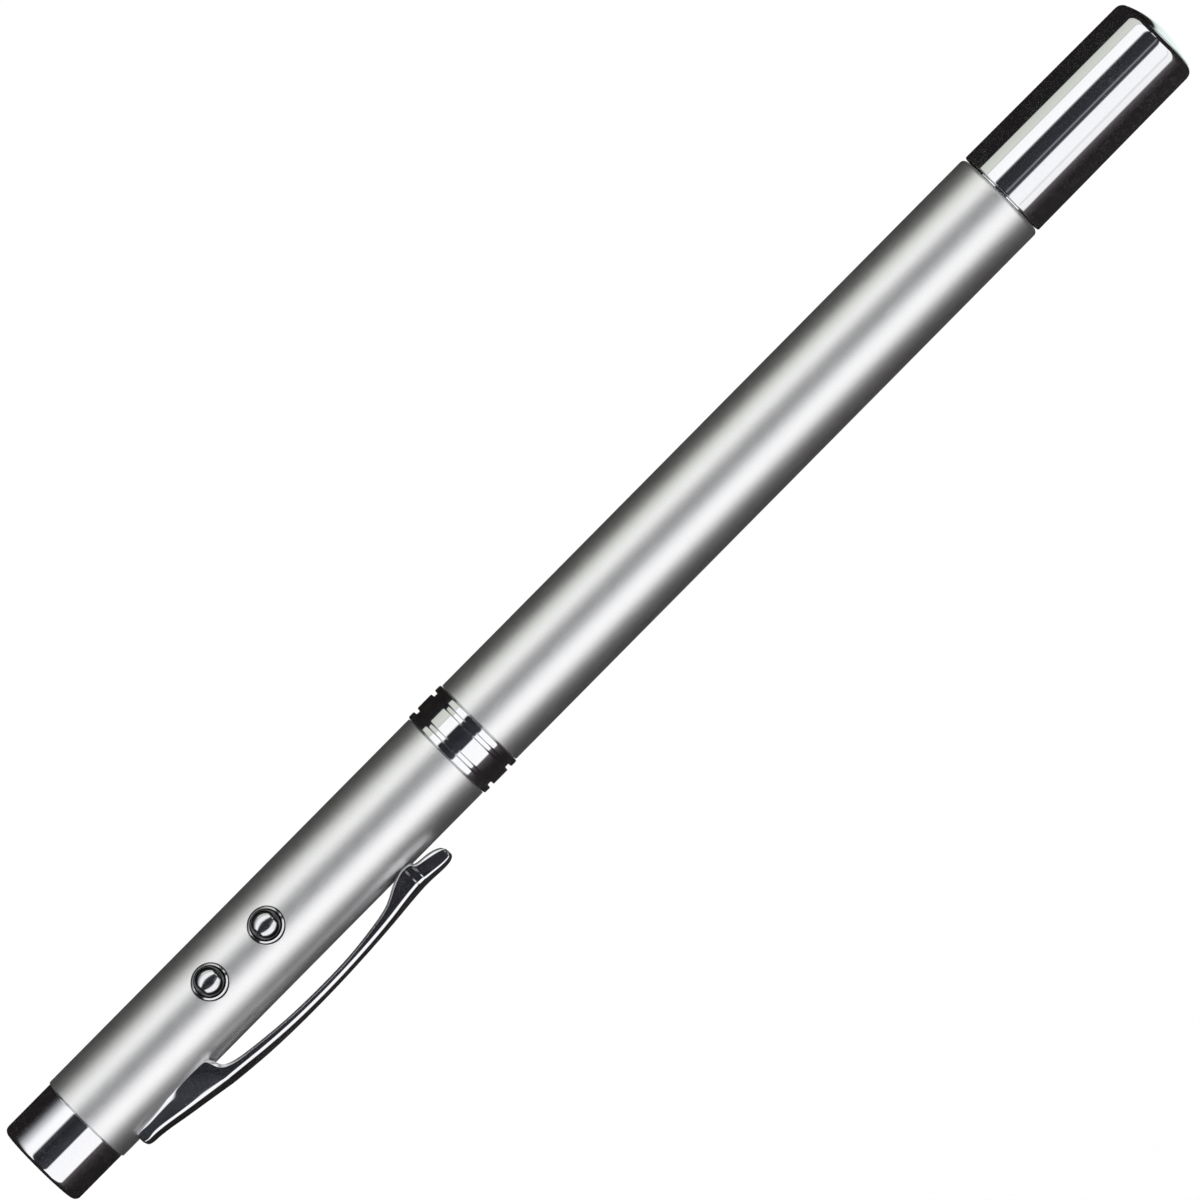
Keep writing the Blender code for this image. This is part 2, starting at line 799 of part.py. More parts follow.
def make_spring():
    """The conical battery spring, a round wire whose turns step along the pen's axis."""
    start = spring_start + spring_wire_radius
    end = spring_start + spring_length - spring_wire_radius
    count = spring_turns * spring_points_a_turn
    curve = bpy.data.curves.new("battery_spring", "CURVE")
    curve.dimensions = "3D"
    curve.bevel_depth = spring_wire_radius
    curve.bevel_resolution = 1
    curve.use_fill_caps = True
    spline = curve.splines.new("POLY")
    spline.points.add(count)
    for i, point in enumerate(spline.points):
        share = i / count
        radius = spring_wide_radius + (spring_narrow_radius - spring_wide_radius) * share
        angle = 2 * math.pi * spring_turns * share
        point.co = ((end - start) * share, radius * math.cos(angle), radius * math.sin(angle), 1)
    place("battery_spring", curve, steel, front_section, (start, 0, 0))


def make_cell(number, start):
    """A button cell: a can with a narrower contact lid at its front."""
    end = start + cell_height
    lid = cell_radius - cell_rim_width
    profile = [
        (start, 0), (start, lid), (start + cell_rim_height, lid), (start + cell_rim_height, cell_radius),
        (end - seam_gap, cell_radius), (end, cell_radius - seam_gap), (end, 0),
    ]
    turned(f"cell_{number}", profile, steel, battery_stack, inner_steps)


def make_centre_ring():
    """The turned ring between the barrels: three bands, two grooves, and a plain spigot each way."""
    groove = ring_radius - ring_groove_depth
    pip_start = front_spigot_start - ring_pip_height
    profile = [
        (pip_start, 0), (pip_start, ring_pip_radius), (front_spigot_start, ring_pip_radius),
        (front_spigot_start, spigot_radius), (ring_start, spigot_radius),
    ]
    first_groove = ring_start + ring_end_band
    second_groove = ring_end - ring_end_band - ring_groove_width
    bands = (
        (ring_start, first_groove),
        (first_groove + ring_groove_width, second_groove),
        (second_groove + ring_groove_width, ring_end),
    )
    for number, (start, end) in enumerate(bands):
        if number:
            profile += [(start, groove)]
        profile += [(start, ring_radius - ring_edge), (start + ring_edge, ring_radius)]
        profile += [(end - ring_edge, ring_radius), (end, ring_radius - ring_edge)]
        if number < len(bands) - 1:
            profile += [(end, groove)]
    spigot_end = ring_end + rear_spigot_length
    profile += [(ring_end, spigot_radius), (spigot_end, spigot_radius), (spigot_end, 0)]
    turned("centre_ring", profile, chrome, rear_section)


def make_rear_barrel():
    start, end = rear_barrel_start, rear_barrel_end
    profile = [(start, bore_radius), (start, barrel_radius - barrel_edge), (start + barrel_edge, barrel_radius)]
    shoulder = min(barrel_end_round, barrel_wall)
    profile += arc(end - shoulder, barrel_radius - shoulder, shoulder, 90, 15, corner_steps)
    profile += [(end, bore_radius)]
    turned("rear_barrel", profile, satin, rear_section)


def make_rod_housing():
    boss = sleeve_bore - running_gap
    boss_end = rod_sleeve_start + plug_boss_length
    plug_end = plug_start + plug_length
    plug = [
        (plug_start, 0), (plug_start, spigot_radius), (plug_end, spigot_radius), (plug_end, boss),
        (boss_end, boss), (boss_end, 0),
    ]
    turned("rod_plug", plug, black_plastic, rear_section)
    outer = sleeve_bore + rod_sleeve_wall
    turned(
        "rod_sleeve", tube(rod_sleeve_start, rod_sleeve_end, sleeve_bore, outer, seam_gap), brass, rear_section,
        inner_steps,
    )
    bush = [
        (bush_start, sleeve_bore), (bush_start, spigot_radius), (rear_barrel_end, spigot_radius),
        (rear_barrel_end, bush_spigot_radius), (bush_end - bush_chamfer, bush_spigot_radius),
        (bush_end, bush_spigot_radius - bush_chamfer), (bush_end, sleeve_bore),
    ]
    turned("end_bush", bush, chrome, rear_section)


def rod_outer(number):
    """Outer radius of a rod section, the first being the widest."""
    return last_rod_bore + rod_wall + (rod_count - number) * rod_step


def make_rods():
    for number in range(1, rod_count + 1):
        outer = rod_outer(number)
        start = rods_start + (number - 1) * rod_start_step
        end = rods_end + number * rod_end_step
        if number == rod_count:
            end = collar_start + cone_seat_depth - seam_gap
        turned(
            f"rod_{number}", tube(start, end, outer - rod_wall, outer, rod_edge), chrome,
            rod_bodies[number - 1], inner_steps,
        )


def make_nib():
    """The cone on the last rod, and the refill that it holds."""
    body = rod_bodies[-1]
    collar = rod_outer(1) - collar_inset
    collar_end = collar_start + collar_length
    seat = rod_outer(rod_count) + seam_gap
    neck = seat + cone_wall
    neck_end = collar_end + cone_neck_length
    shank_bore = refill_radius + running_gap
    seat_end = collar_start + cone_seat_depth
    profile = [
        (collar_start, seat), (collar_start, collar), (collar_end, collar), (collar_end, neck),
        (neck_end, neck), (cone_end, shank_bore + cone_end_wall), (cone_end, shank_bore),
        (seat_end, shank_bore), (seat_end, seat),
    ]
    turned("nib_cone", profile, chrome, body, inner_steps)

    shank_start = cone_end - tip_shank_length
    tube_start = rods_start + (rod_count - 1) * rod_start_step + refill_setback
    turned(
        "refill_tube",
        tube(tube_start, shank_start - seam_gap, refill_radius - refill_wall, refill_radius, seam_gap),
        black_plastic, body, inner_steps,
    )
    socket = writing_ball_radius + writing_ball_gap
    socket_floor = tip_end - writing_ball_seat
    tip = [
        (shank_start, 0), (shank_start, refill_radius), (cone_end, refill_radius), (tip_end, tip_end_radius),
        (tip_end, socket), (socket_floor, socket), (socket_floor, 0),
    ]
    turned("refill_tip", tip, brass, body, inner_steps)
    centre = socket_floor + socket
    ball = round_off(arc(centre, 0, writing_ball_radius, 180, 0, dome_steps))
    ball[-1] = (centre + writing_ball_radius, 0)
    turned("writing_ball", ball, steel, body, steps=12)


def cap_profile_end():
    """The cap's domed end, from its side to the axis: a round corner, then a shallow dome."""
    side = cap_side_radius(cap_end - cap_dome - cap_corner)
    points = arc(cap_end - cap_dome - cap_corner, side - cap_corner, cap_corner, 90, 15, corner_steps + 1)
    rim_x, rim_r = points[-1]
    rise = cap_end - rim_x
    for i in range(1, dome_steps + 1):
        share = 1 - i / dome_steps
        points.append((cap_end - rise * share * share, rim_r * share))
    return points


def cap_side_radius(x):
    mouth = bush_spigot_radius + cap_fit_gap + cap_wall
    return mouth - cap_taper * (x - cap_start) / cap_length


def make_end_cap():
    bore = bush_spigot_radius + cap_fit_gap
    mouth = cap_side_radius(cap_start)
    profile = [(cap_start, bore), (cap_start, mouth - cap_mouth_edge), (cap_start + cap_mouth_edge, mouth)]
    profile += cap_profile_end()
    profile += [(cap_floor, 0), (cap_floor, bore)]
    turned("end_cap", profile, chrome, cap_body)

    outer = bore - fit_gap
    inner = rod_outer(rod_count) + seam_gap + cone_wall + liner_wall
    floor = liner_end - liner_floor
    liner = [
        (liner_start, inner), (liner_start, outer), (liner_end, outer), (liner_end, 0), (floor, 0), (floor, inner),
    ]
    turned("cap_liner", liner, white_plastic, cap_body)


clear_scene()
pen = collection("laser_pointer")
cutters = collection("cutters")

satin = finish("satin_silver", (0.62, 0.62, 0.62), 0.38, 1.0)
chrome = finish("chrome", (0.86, 0.86, 0.87), 0.07, 1.0)
brass = finish("brass", (0.72, 0.52, 0.24), 0.3, 1.0)
steel = finish("spring_steel", (0.56, 0.56, 0.57), 0.3, 1.0)
black_plastic = finish("black_plastic", (0.03, 0.03, 0.03), 0.5, 0.0)
white_plastic = finish("white_plastic", (0.75, 0.75, 0.72), 0.5, 0.0)
board_green = finish("board_green", (0.03, 0.2, 0.08), 0.5, 0.0)
clear = finish("clear_plastic", (0.85, 0.88, 0.9), 0.1, 0.0)

clip_hinge = Vector((clip_start + clip_hinge_inset, -(barrel_radius + clip_seat_gap), 0))
lying_pen = empty("lying_pen", (0, 0, 0))
lying_pen.rotation_euler.x = rolled_angle()
front_section = empty("front_section", (0, 0, 0), lying_pen)
laser_body = empty("laser_button_body", (laser_button_x, 0, ball_height), lying_pen)
torch_body = empty("torch_button_body", (torch_button_x, 0, ball_height), lying_pen)
clip_body = empty("clip_body", clip_hinge, lying_pen)
battery_stack = empty("battery_stack", (cells_start, 0, 0), lying_pen)
rear_section = empty("rear_section", (ring_start, 0, 0), lying_pen)
rod_bodies = [empty(f"rod_body_{n}", (rods_start, 0, 0), lying_pen) for n in range(1, rod_count + 1)]
cap_body = empty("cap_body", (cap_start, 0, 0), lying_pen)

make_nose_cap()
make_holder()
make_laser()
make_lamp()
make_board()
for button_name, button_x, button_body in (
    ("laser", laser_button_x, laser_body),
    ("torch", torch_button_x, torch_body),
):
    make_switch(button_name, button_x)
    make_button(button_name, button_x, button_body)
    make_bezel(button_name, button_x)
make_resistor(1, -1)
make_resistor(2, 1)
make_front_barrel()
make_clip()
make_clip_anchor()
make_battery_parts()
make_centre_ring()
make_rear_barrel()
make_rod_housing()
make_rods()
make_nib()
make_end_cap()
print(f"The pen is rolled {math.degrees(lying_pen.rotation_euler.x):.2f} degrees about its axis")
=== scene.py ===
# Slim laser pen in satin silver and chrome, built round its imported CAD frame.
# Everything is in metres, and mm turns millimetres into metres.
import json
import math

import bmesh
import bpy
from mathutils import Matrix, Vector


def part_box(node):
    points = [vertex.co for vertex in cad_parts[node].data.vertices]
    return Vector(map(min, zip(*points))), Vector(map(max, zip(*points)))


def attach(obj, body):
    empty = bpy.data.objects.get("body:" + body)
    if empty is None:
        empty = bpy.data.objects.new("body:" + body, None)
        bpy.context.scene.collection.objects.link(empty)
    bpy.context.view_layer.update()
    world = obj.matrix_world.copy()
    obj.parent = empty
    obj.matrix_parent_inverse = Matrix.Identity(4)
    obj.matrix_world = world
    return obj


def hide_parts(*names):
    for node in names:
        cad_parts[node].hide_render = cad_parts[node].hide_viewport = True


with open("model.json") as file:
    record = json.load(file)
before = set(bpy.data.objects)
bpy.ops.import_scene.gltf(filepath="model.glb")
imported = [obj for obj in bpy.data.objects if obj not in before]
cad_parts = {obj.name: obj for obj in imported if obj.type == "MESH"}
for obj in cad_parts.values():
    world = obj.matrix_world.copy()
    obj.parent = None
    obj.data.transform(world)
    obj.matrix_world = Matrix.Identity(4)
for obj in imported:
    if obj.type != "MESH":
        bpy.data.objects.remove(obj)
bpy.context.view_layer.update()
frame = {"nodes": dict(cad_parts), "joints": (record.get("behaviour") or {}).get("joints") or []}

mm = 0.001
print("frame loaded,", len(frame["nodes"]), "CAD nodes")

# The pen lies rolled over onto its clip. Pieces are modelled with the buttons facing up (+Z)
# and the clip towards -Y, and each one is rolled into place when it is finished.
pressAxis = Vector(next(j["axis"] for j in frame["joints"] if j["name"] == "laser_press"))
penRoll = math.atan2(pressAxis.y, -pressAxis.z)


def span(node):        # where a CAD node starts and ends along the pen, in millimetres
    low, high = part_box(node)
    return low.x / mm, high.x / mm


frontStart, frontEnd = span("front_barrel")
rearStart, rearEnd = span("rear_barrel")
capEnd = span("end_cap")[1]


# Materials

class Wire:        # a socket that can be used in sums
    def __init__(self, finish, socket):
        self.finish = finish
        self.socket = socket

    def __add__(self, other):
        return self.finish.sum("ADD", self, other)

    def __rsub__(self, other):
        return self.finish.sum("SUBTRACT", other, self)

    def __mul__(self, other):
        return self.finish.sum("MULTIPLY", self, other)

    def __truediv__(self, other):
        return self.finish.sum("DIVIDE", self, other)

    __radd__ = __add__
    __rmul__ = __mul__


class Finish:        # one material, or the world, built node by node
    def __init__(self, name, blocks=bpy.data.materials, output="ShaderNodeOutputMaterial"):
        self.block = blocks.new(name)
        self.block.use_nodes = True
        self.tree = self.block.node_tree
        self.tree.nodes.clear()
        self.output = self.tree.nodes.new(output)

    def node(self, kind, settings=None, inputs=None, output=0):
        made = self.tree.nodes.new(kind)
        for name, value in (settings or {}).items():
            if name == "stops":
                self.setStops(made.color_ramp, value)
            else:
                setattr(made, name, value)
        for name, value in (inputs or {}).items():
            self.feed(made.inputs[name], value)
        return Wire(self, made.outputs[output])

    def setStops(self, ramp, stops):
        while len(ramp.elements) < len(stops):
            ramp.elements.new(1)
        for element, (place, level) in zip(ramp.elements, stops):
            element.position = place
            element.color = (*level, 1) if isinstance(level, tuple) else (level, level, level, 1)

    def feed(self, socket, value):
        if isinstance(value, Wire):
            self.tree.links.new(value.socket, socket)
        elif isinstance(value, (tuple, list)) and socket.type == "RGBA":
            socket.default_value = (*value[:3], 1)
        else:
            socket.default_value = value

    def sum(self, operation, first, second):
        return self.node("ShaderNodeMath", {"operation": operation}, {0: first, 1: second})

    def place(self):        # where a point of the surface is, in metres
        return self.node("ShaderNodeTexCoord", output="Object")

    def stretched(self, place, scale):
        return self.node("ShaderNodeMapping", inputs={"Vector": place, "Scale": scale})

    def noise(self, place, scale, detail=2, roughness=0.5):
        return self.node("ShaderNodeTexNoise", inputs={
            "Vector": place, "Scale": scale, "Detail": detail, "Roughness": roughness,
        })

    def ramp(self, value, stops):
        return self.node("ShaderNodeValToRGB", {"stops": stops}, {"Fac": value})

    def mixColour(self, factor, first, second):        # its colours are inputs 6 and 7 and output 2
        made = self.node("ShaderNodeMix", {"data_type": "RGBA"}, {0: factor}, output=2)
        self.feed(made.socket.node.inputs[6], first)
        self.feed(made.socket.node.inputs[7], second)
        return made

    def bump(self, height, depth, strength=1):
        return self.node("ShaderNodeBump", inputs={"Height": height, "Distance": depth, "Strength": strength})

    def surface(self, shader):
        self.tree.links.new(shader.socket, self.output.inputs["Surface"])
        return self.block

    def principled(self, inputs):
        return self.surface(self.node("ShaderNodeBsdfPrincipled", inputs=inputs))


# In the finishes, plural words are how many of a thing a metre holds, and depths are in millimetres
satinLook = {
    "colour": (0.90, 0.905, 0.90), "fleck": (0.985, 0.985, 0.985), "flecked": 0.6, "clouded": 0.3,
    "flakes": 9500, "clouds": 420, "grains": 14000, "grainDepth": 0.007, "grainStrength": 0.8,
    "roughness": 0.39, "uneven": 0.05,
}


def makeSatin():
    look = satinLook
    satin = Finish("satinSilver")
    place = satin.place()
    flakes = satin.node(
        "ShaderNodeTexVoronoi", {"feature": "F1"}, {"Vector": place, "Scale": look["flakes"]}, output="Color"
    )
    flake = satin.node("ShaderNodeSeparateColor", inputs={"Color": flakes}, output=0)
    cloud = satin.noise(place, look["clouds"], detail=3, roughness=0.55)
    grain = satin.noise(place, look["grains"], roughness=0.6)
    return satin.principled({
        "Base Color": satin.mixColour(
            flake * look["flecked"] + cloud * look["clouded"], look["colour"], look["fleck"]
        ),
        "Metallic": 1,
        "Roughness": look["roughness"] + flake * look["uneven"] + cloud * look["uneven"],
        "Normal": satin.bump(grain, look["grainDepth"] * mm, look["grainStrength"]),
    })


chromeLook = {
    "film": (0.55, 0.50, 0.46), "filmShow": 3, "waves": 110, "waveDepth": 0.012,
    "smudges": 260, "smudgeDull": 0.03, "mottles": 3600, "mottled": 0.05, "mottledOutside": 0.35,
    # The dark colour laid low on a ball, with its wavering edge, is painted shade
    "specks": 1500, "dusty": 0.2, "dustDull": 0.3, "paintedShade": (0.12, 0.12, 0.125), "paintedShadeWaver": 0.04,
    # How much shows at which value of the pattern, as (value, share)
    "smudgeRamp": ((0.45, 0), (0.75, 1)), "mottleRamp": ((0.45, 0), (0.8, 1)),
    "dustRamp": ((0.03, 1), (0.06, 0)),
}


def makeChrome(name, colour, roughness, paintedShade=None):
    look = chromeLook
    chrome = Finish(name)
    place = chrome.place()
    wave = chrome.noise(place, look["waves"], detail=1, roughness=0.4)
    smudge = chrome.ramp(chrome.noise(place, look["smudges"], detail=4, roughness=0.6), look["smudgeRamp"])
    mottle = chrome.ramp(chrome.noise(place, look["mottles"], detail=3, roughness=0.7), look["mottleRamp"])
    specks = chrome.node(
        "ShaderNodeTexVoronoi", {"feature": "F1"}, {"Vector": place, "Scale": look["specks"]}
    )
    dust = chrome.ramp(specks, look["dustRamp"])
    film = mottle * (smudge + look["mottledOutside"]) * look["mottled"] + dust * look["dusty"]
    shade = chrome.mixColour(film * look["filmShow"], colour, look["film"])
    if paintedShade:        # painted shade: the colour is darkened below the first height along the buttons' line, and clear above the second
        line = (0, -math.sin(penRoll), math.cos(penRoll))
        height = chrome.node(
            "ShaderNodeVectorMath", {"operation": "DOT_PRODUCT"}, {0: place, 1: line}, output="Value"
        )
        darkness = chrome.node("ShaderNodeMapRange", inputs={
            "Value": height + smudge * (look["paintedShadeWaver"] * mm),
            "From Min": paintedShade[0] * mm, "From Max": paintedShade[1] * mm, "To Min": 1, "To Max": 0,
        })
        shade = chrome.mixColour(darkness, shade, look["paintedShade"])
    return chrome.principled({
        "Base Color": shade,
        "Metallic": 1 - film,
        "Roughness": roughness + smudge * look["smudgeDull"] + dust * look["dustDull"],
        "Normal": chrome.bump(wave, look["waveDepth"] * mm),
    })


turnedLook = {
    "lines": 9000, "lineStretch": (1, 0.02, 0.02), "lineDepth": 0.003, "lineStrength": 0.7, "lineDull": 0.12,
    "stains": 600, "stained": 0.7, "stainDull": 0.06,
}


def makeTurnedMetal(name, colour, dark, roughness):
    look = turnedLook
    metal = Finish(name)
    place = metal.place()
    drawn = metal.stretched(place, look["lineStretch"])
    tooling = metal.noise(drawn, look["lines"], detail=3, roughness=0.6)
    stain = metal.noise(place, look["stains"], detail=3, roughness=0.6)
    return metal.principled({
        "Base Color": metal.mixColour(stain * look["stained"], colour, dark),
        "Metallic": 1,
        "Roughness": roughness + tooling * look["lineDull"] + stain * look["stainDull"],
        "Normal": metal.bump(tooling, look["lineDepth"] * mm, look["lineStrength"]),
    })


plasticLook = {
    "pores": 5200, "poreDepth": 0.006, "poreStrength": 0.6, "poreDull": 0.12,
    "clouds": 700, "clouded": 0.5, "cloudDull": 0.05,
}


def makePlastic(name, colour, pale, roughness):
    look = plasticLook
    plastic = Finish(name)
    place = plastic.place()
    pores = plastic.noise(place, look["pores"], detail=3, roughness=0.6)
    cloud = plastic.noise(place, look["clouds"])
    return plastic.principled({
        "Base Color": plastic.mixColour(cloud * look["clouded"], colour, pale),
        "Roughness": roughness + pores * look["poreDull"] + cloud * look["cloudDull"],
        "Normal": plastic.bump(pores, look["poreDepth"] * mm, look["poreStrength"]),
    })


boardLook = {
    "colour": (0.02, 0.16, 0.06), "track": (0.05, 0.3, 0.12), "tracks": 620, "trackShow": 0.7,
    "trackRamp": ((0.05, 1), (0.09, 0)),
    "threads": 3200, "threadStretch": (1, 3, 1), "threadHeight": 0.2, "threadDull": 0.15,
    "roughness": 0.32, "depth": 0.02, "strength": 0.6,
}


def makeBoard():
    look = boardLook
    board = Finish("boardGreen")
    place = board.place()
    weave = board.noise(board.stretched(place, look["threadStretch"]), look["threads"])
    edges = board.node(
        "ShaderNodeTexVoronoi", {"feature": "DISTANCE_TO_EDGE"}, {"Vector": place, "Scale": look["tracks"]}
    )
    track = board.ramp(edges, look["trackRamp"])
    return board.principled({
        "Base Color": board.mixColour(track * look["trackShow"], look["colour"], look["track"]),
        "Roughness": look["roughness"] + weave * look["threadDull"],
        "Normal": board.bump(track + weave * look["threadHeight"], look["depth"] * mm, look["strength"]),
    })


lensLook = {
    "colour": (0.97, 0.98, 1.0), "haze": (0.9, 0.93, 0.96), "hazes": 900, "hazy": 0.3,
    "roughness": 0.02, "hazeDull": 0.06, "bending": 1.52,
}


def makeClear():
    look = lensLook
    clear = Finish("clearLens")
    haze = clear.noise(clear.place(), look["hazes"], detail=3)
    return clear.principled({
        "Base Color": clear.mixColour(haze * look["hazy"], look["colour"], look["haze"]),
        "Roughness": look["roughness"] + haze * look["hazeDull"],
        "IOR": look["bending"],
        "Transmission Weight": 1,
    })


satin = makeSatin()
chrome = makeChrome("chrome", (0.74, 0.745, 0.76), roughness=0.04)
touchedChrome = makeChrome("touchedChrome", (0.64, 0.645, 0.66), roughness=0.13)        # dulled by fingers
# The balls get painted shade: their colour darkens below 5.45 mm out from the pen's axis along the buttons'
# line
ballChrome = makeChrome("ballChrome", (0.66, 0.665, 0.68), roughness=0.13, paintedShade=(5.45, 5.68))
brass = makeTurnedMetal("turnedBrass", (0.76, 0.56, 0.27), dark=(0.6, 0.42, 0.18), roughness=0.22)
steel = makeTurnedMetal("nickelSteel", (0.62, 0.62, 0.62), dark=(0.48, 0.48, 0.48), roughness=0.24)
blackPlastic = makePlastic("blackPlastic", (0.02, 0.02, 0.022), pale=(0.045, 0.045, 0.048), roughness=0.42)
whitePlastic = makePlastic("whitePlastic", (0.72, 0.71, 0.68), pale=(0.8, 0.79, 0.77), roughness=0.42)
boardGreen = makeBoard()
clear = makeClear()
print("materials made")


# Working in edit mode

closeness = 0.00002 * mm        # points nearer than this are one point


def selectOnly(piece):
    bpy.ops.object.select_all(action="DESELECT")
    piece.select_set(True)
    bpy.context.view_layer.objects.active = piece


def startPoint(name, point):        # a plane merged to one point, where an outline starts
    bpy.ops.object.select_all(action="DESELECT")
    bpy.ops.mesh.primitive_plane_add(size=mm, location=(0, 0, 0))
    piece = bpy.context.active_object
    piece.name = name
    piece.data.name = name
    bpy.ops.object.mode_set(mode="EDIT")
    bpy.ops.mesh.select_all(action="SELECT")
    bpy.ops.mesh.merge(type="CENTER")
    bpy.ops.transform.translate(value=point)
    return piece


def drawOutline(name, points, closed):        # a chain of edges, extruded point by point
    piece = startPoint(name, points[0])
    chain = points + points[:1] if closed else points
    for start, end in zip(chain, chain[1:]):
        bpy.ops.mesh.extrude_region_move(TRANSFORM_OT_translate={"value": end - start})
    mergeDoubles()
    return piece


def mergeDoubles():
    bpy.ops.mesh.select_all(action="SELECT")
    bpy.ops.mesh.remove_doubles(threshold=closeness)


# Corners are (along, out) or (along, out, rounding), and each rounding gets a point close beside it
def softened(corners, closed, steps=5, guard=0.04):
    points = []
    for i, corner in enumerate(corners):
        here = Vector(corner[:2])
        soft = corner[2] if len(corner) > 2 else 0
        if not soft or (not closed and i in (0, len(corners) - 1)):
            points.append(here)
            continue
        back = (Vector(corners[i - 1][:2]) - here).normalized()
        ahead = (Vector(corners[(i + 1) % len(corners)][:2]) - here).normalized()
        half = back.angle(ahead) / 2
        reach = soft / math.tan(half)
        centre = here + (back + ahead).normalized() * (soft / math.sin(half))
        first = here + back * reach - centre
        turn = first.angle_signed(here + ahead * reach - centre)
        points.append(here + back * (reach + guard))
        for step in range(steps + 1):
            points.append(centre + Matrix.Rotation(-turn * step / steps, 2) @ first)
        points.append(here + ahead * (reach + guard))
    return points


def spinOutline(piece, centre, axis, steps):
    bpy.ops.mesh.select_all(action="SELECT")
    bpy.ops.mesh.spin(steps=steps, angle=2 * math.pi, center=centre, axis=axis)
    mergeDoubles()
    bpy.ops.mesh.normals_make_consistent(inside=False)
    bpy.ops.object.mode_set(mode="OBJECT")


# Turned about the pen's axis, or about a line beside it
def turnOnPen(name, corners, closed=True, offset=0, steps=128, **rounding):
    points = [Vector((x, 0, offset + r)) * mm for x, r in softened(corners, closed, **rounding)]
    piece = drawOutline(name, points, closed)
    spinOutline(piece, (0, 0, offset * mm), (1, 0, 0), steps)
    return piece


# Turned about an upright line, from corners of (height, out, rounding)
def turnOnButton(name, corners, at, closed=True, steps=64, **rounding):
    points = [Vector((at + r, 0, z)) * mm for z, r in softened(corners, closed, **rounding)]
    piece = drawOutline(name, points, closed)
    spinOutline(piece, (at * mm, 0, 0), (0, 0, 1), steps)
    return piece


def useModifier(piece, kind, settings):
    selectOnly(piece)
    bpy.ops.object.modifier_add(type=kind)
    added = piece.modifiers[-1]
    for name, value in settings.items():
        setattr(added, name, value)
    bpy.ops.object.modifier_apply(modifier=added.name)


def cutAway(piece, cutter):
    useModifier(piece, "BOOLEAN", {"object": cutter, "operation": "DIFFERENCE", "solver": "EXACT"})
    bpy.data.objects.remove(cutter)


def finishPiece(piece, material, slot, body, *replaced, smoothing=32):
    selectOnly(piece)
    bpy.ops.object.shade_smooth_by_angle(angle=math.radians(smoothing))
    piece.rotation_euler.x = penRoll
    bpy.ops.object.transform_apply(location=True, rotation=True, scale=True)
    piece.data.materials.clear()
    piece.data.materials.append(material)
    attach(piece, body)
    if replaced:
        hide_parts(*replaced)


def follow(pairs, place):        # the value at a place, between pairs of (place, value)
    value = pairs[0][1]
    for (start, first), (end, second) in zip(pairs, pairs[1:]):
        share = min(max((place - start) / (end - start), 0), 1)
        value += (second - first) * share
    return value


def evenly(start, end, count):
    return [start + (end - start) * i / count for i in range(count + 1)]


# Nose cap, with its two round windows

noseLook = {
    "radius": 4.60, "length": 5.95, "corner": 0.6, "rear": 5.4, "rearEdge": 0.08, "faceWall": 0.8,
    "spigot": 4.22, "spigotEnd": 8.55, "spigotEdge": 0.1, "bore": 3.93,
    "laserHeight": 1.94, "laserWindow": 1.1, "laserFlare": 1.8, "laserChamfer": 0.2,
    "lampHeight": -1.96, "lampWindow": 1.5, "lampFlare": 2.06, "lampChamfer": 0.06, "cut": (-0.5, 2),
}
look = noseLook
noseCap = turnOnPen("noseCap", (
    (0, 0), (0, look["radius"], look["corner"]), (look["rear"], look["radius"]),
    (look["length"], look["radius"], look["rearEdge"]), (look["length"], look["spigot"]),
    (look["spigotEnd"], look["spigot"], look["spigotEdge"]), (look["spigotEnd"], look["bore"]),
    (look["faceWall"], look["bore"], look["spigotEdge"]), (look["faceWall"], 0),
), closed=False)
cutStart, cutEnd = look["cut"]
for light in ("laser", "lamp"):
    window = look[light + "Window"]
    cutAway(noseCap, turnOnPen(light + "Cutter", (
        (cutStart, 0), (cutStart, look[light + "Flare"]), (look[light + "Chamfer"], window),
        (cutEnd, window), (cutEnd, 0),
    ), closed=False, offset=look[light + "Height"], steps=64))
finishPiece(noseCap, chrome, "chrome", "front_section", "nose_cap")

laserLook = {
    "height": 1.94, "outer": 1.26, "inner": 0.87, "ringFront": 0.9, "ringBack": 1.35, "funnel": 0.15,
    "innerEdge": 0.04, "outerEdge": 0.05,
    "lensFront": 1.40, "lensBack": 2.40, "lensRim": 0.3, "lensEdge": 0.03,
    "lensCurve": ((0, 0), (0.02, 0.3), (0.08, 0.63), (0.18, 0.95)),        # how far back, how far out
}
look = laserLook
lensRing = turnOnPen("lensRing", (
    (look["ringFront"], look["inner"] + look["funnel"]),
    (look["ringFront"] + look["funnel"], look["inner"], look["innerEdge"]), (look["ringBack"], look["inner"]),
    (look["ringBack"], look["outer"]), (look["ringFront"], look["outer"], look["outerEdge"]),
), offset=look["height"], steps=64)
finishPiece(lensRing, brass, "brass", "front_section", "lens_ring")
laserLens = turnOnPen("laserLens", (
    *((look["lensFront"] + back, out) for back, out in look["lensCurve"]),
    (look["lensFront"] + look["lensRim"], look["outer"], look["lensEdge"]),
    (look["lensBack"] - look["lensRim"], look["outer"], look["lensEdge"]),
    *((look["lensBack"] - back, out) for back, out in reversed(look["lensCurve"])),
), closed=False, offset=look["height"], steps=64)
finishPiece(laserLens, clear, "lens", "front_section", "laser_lens")

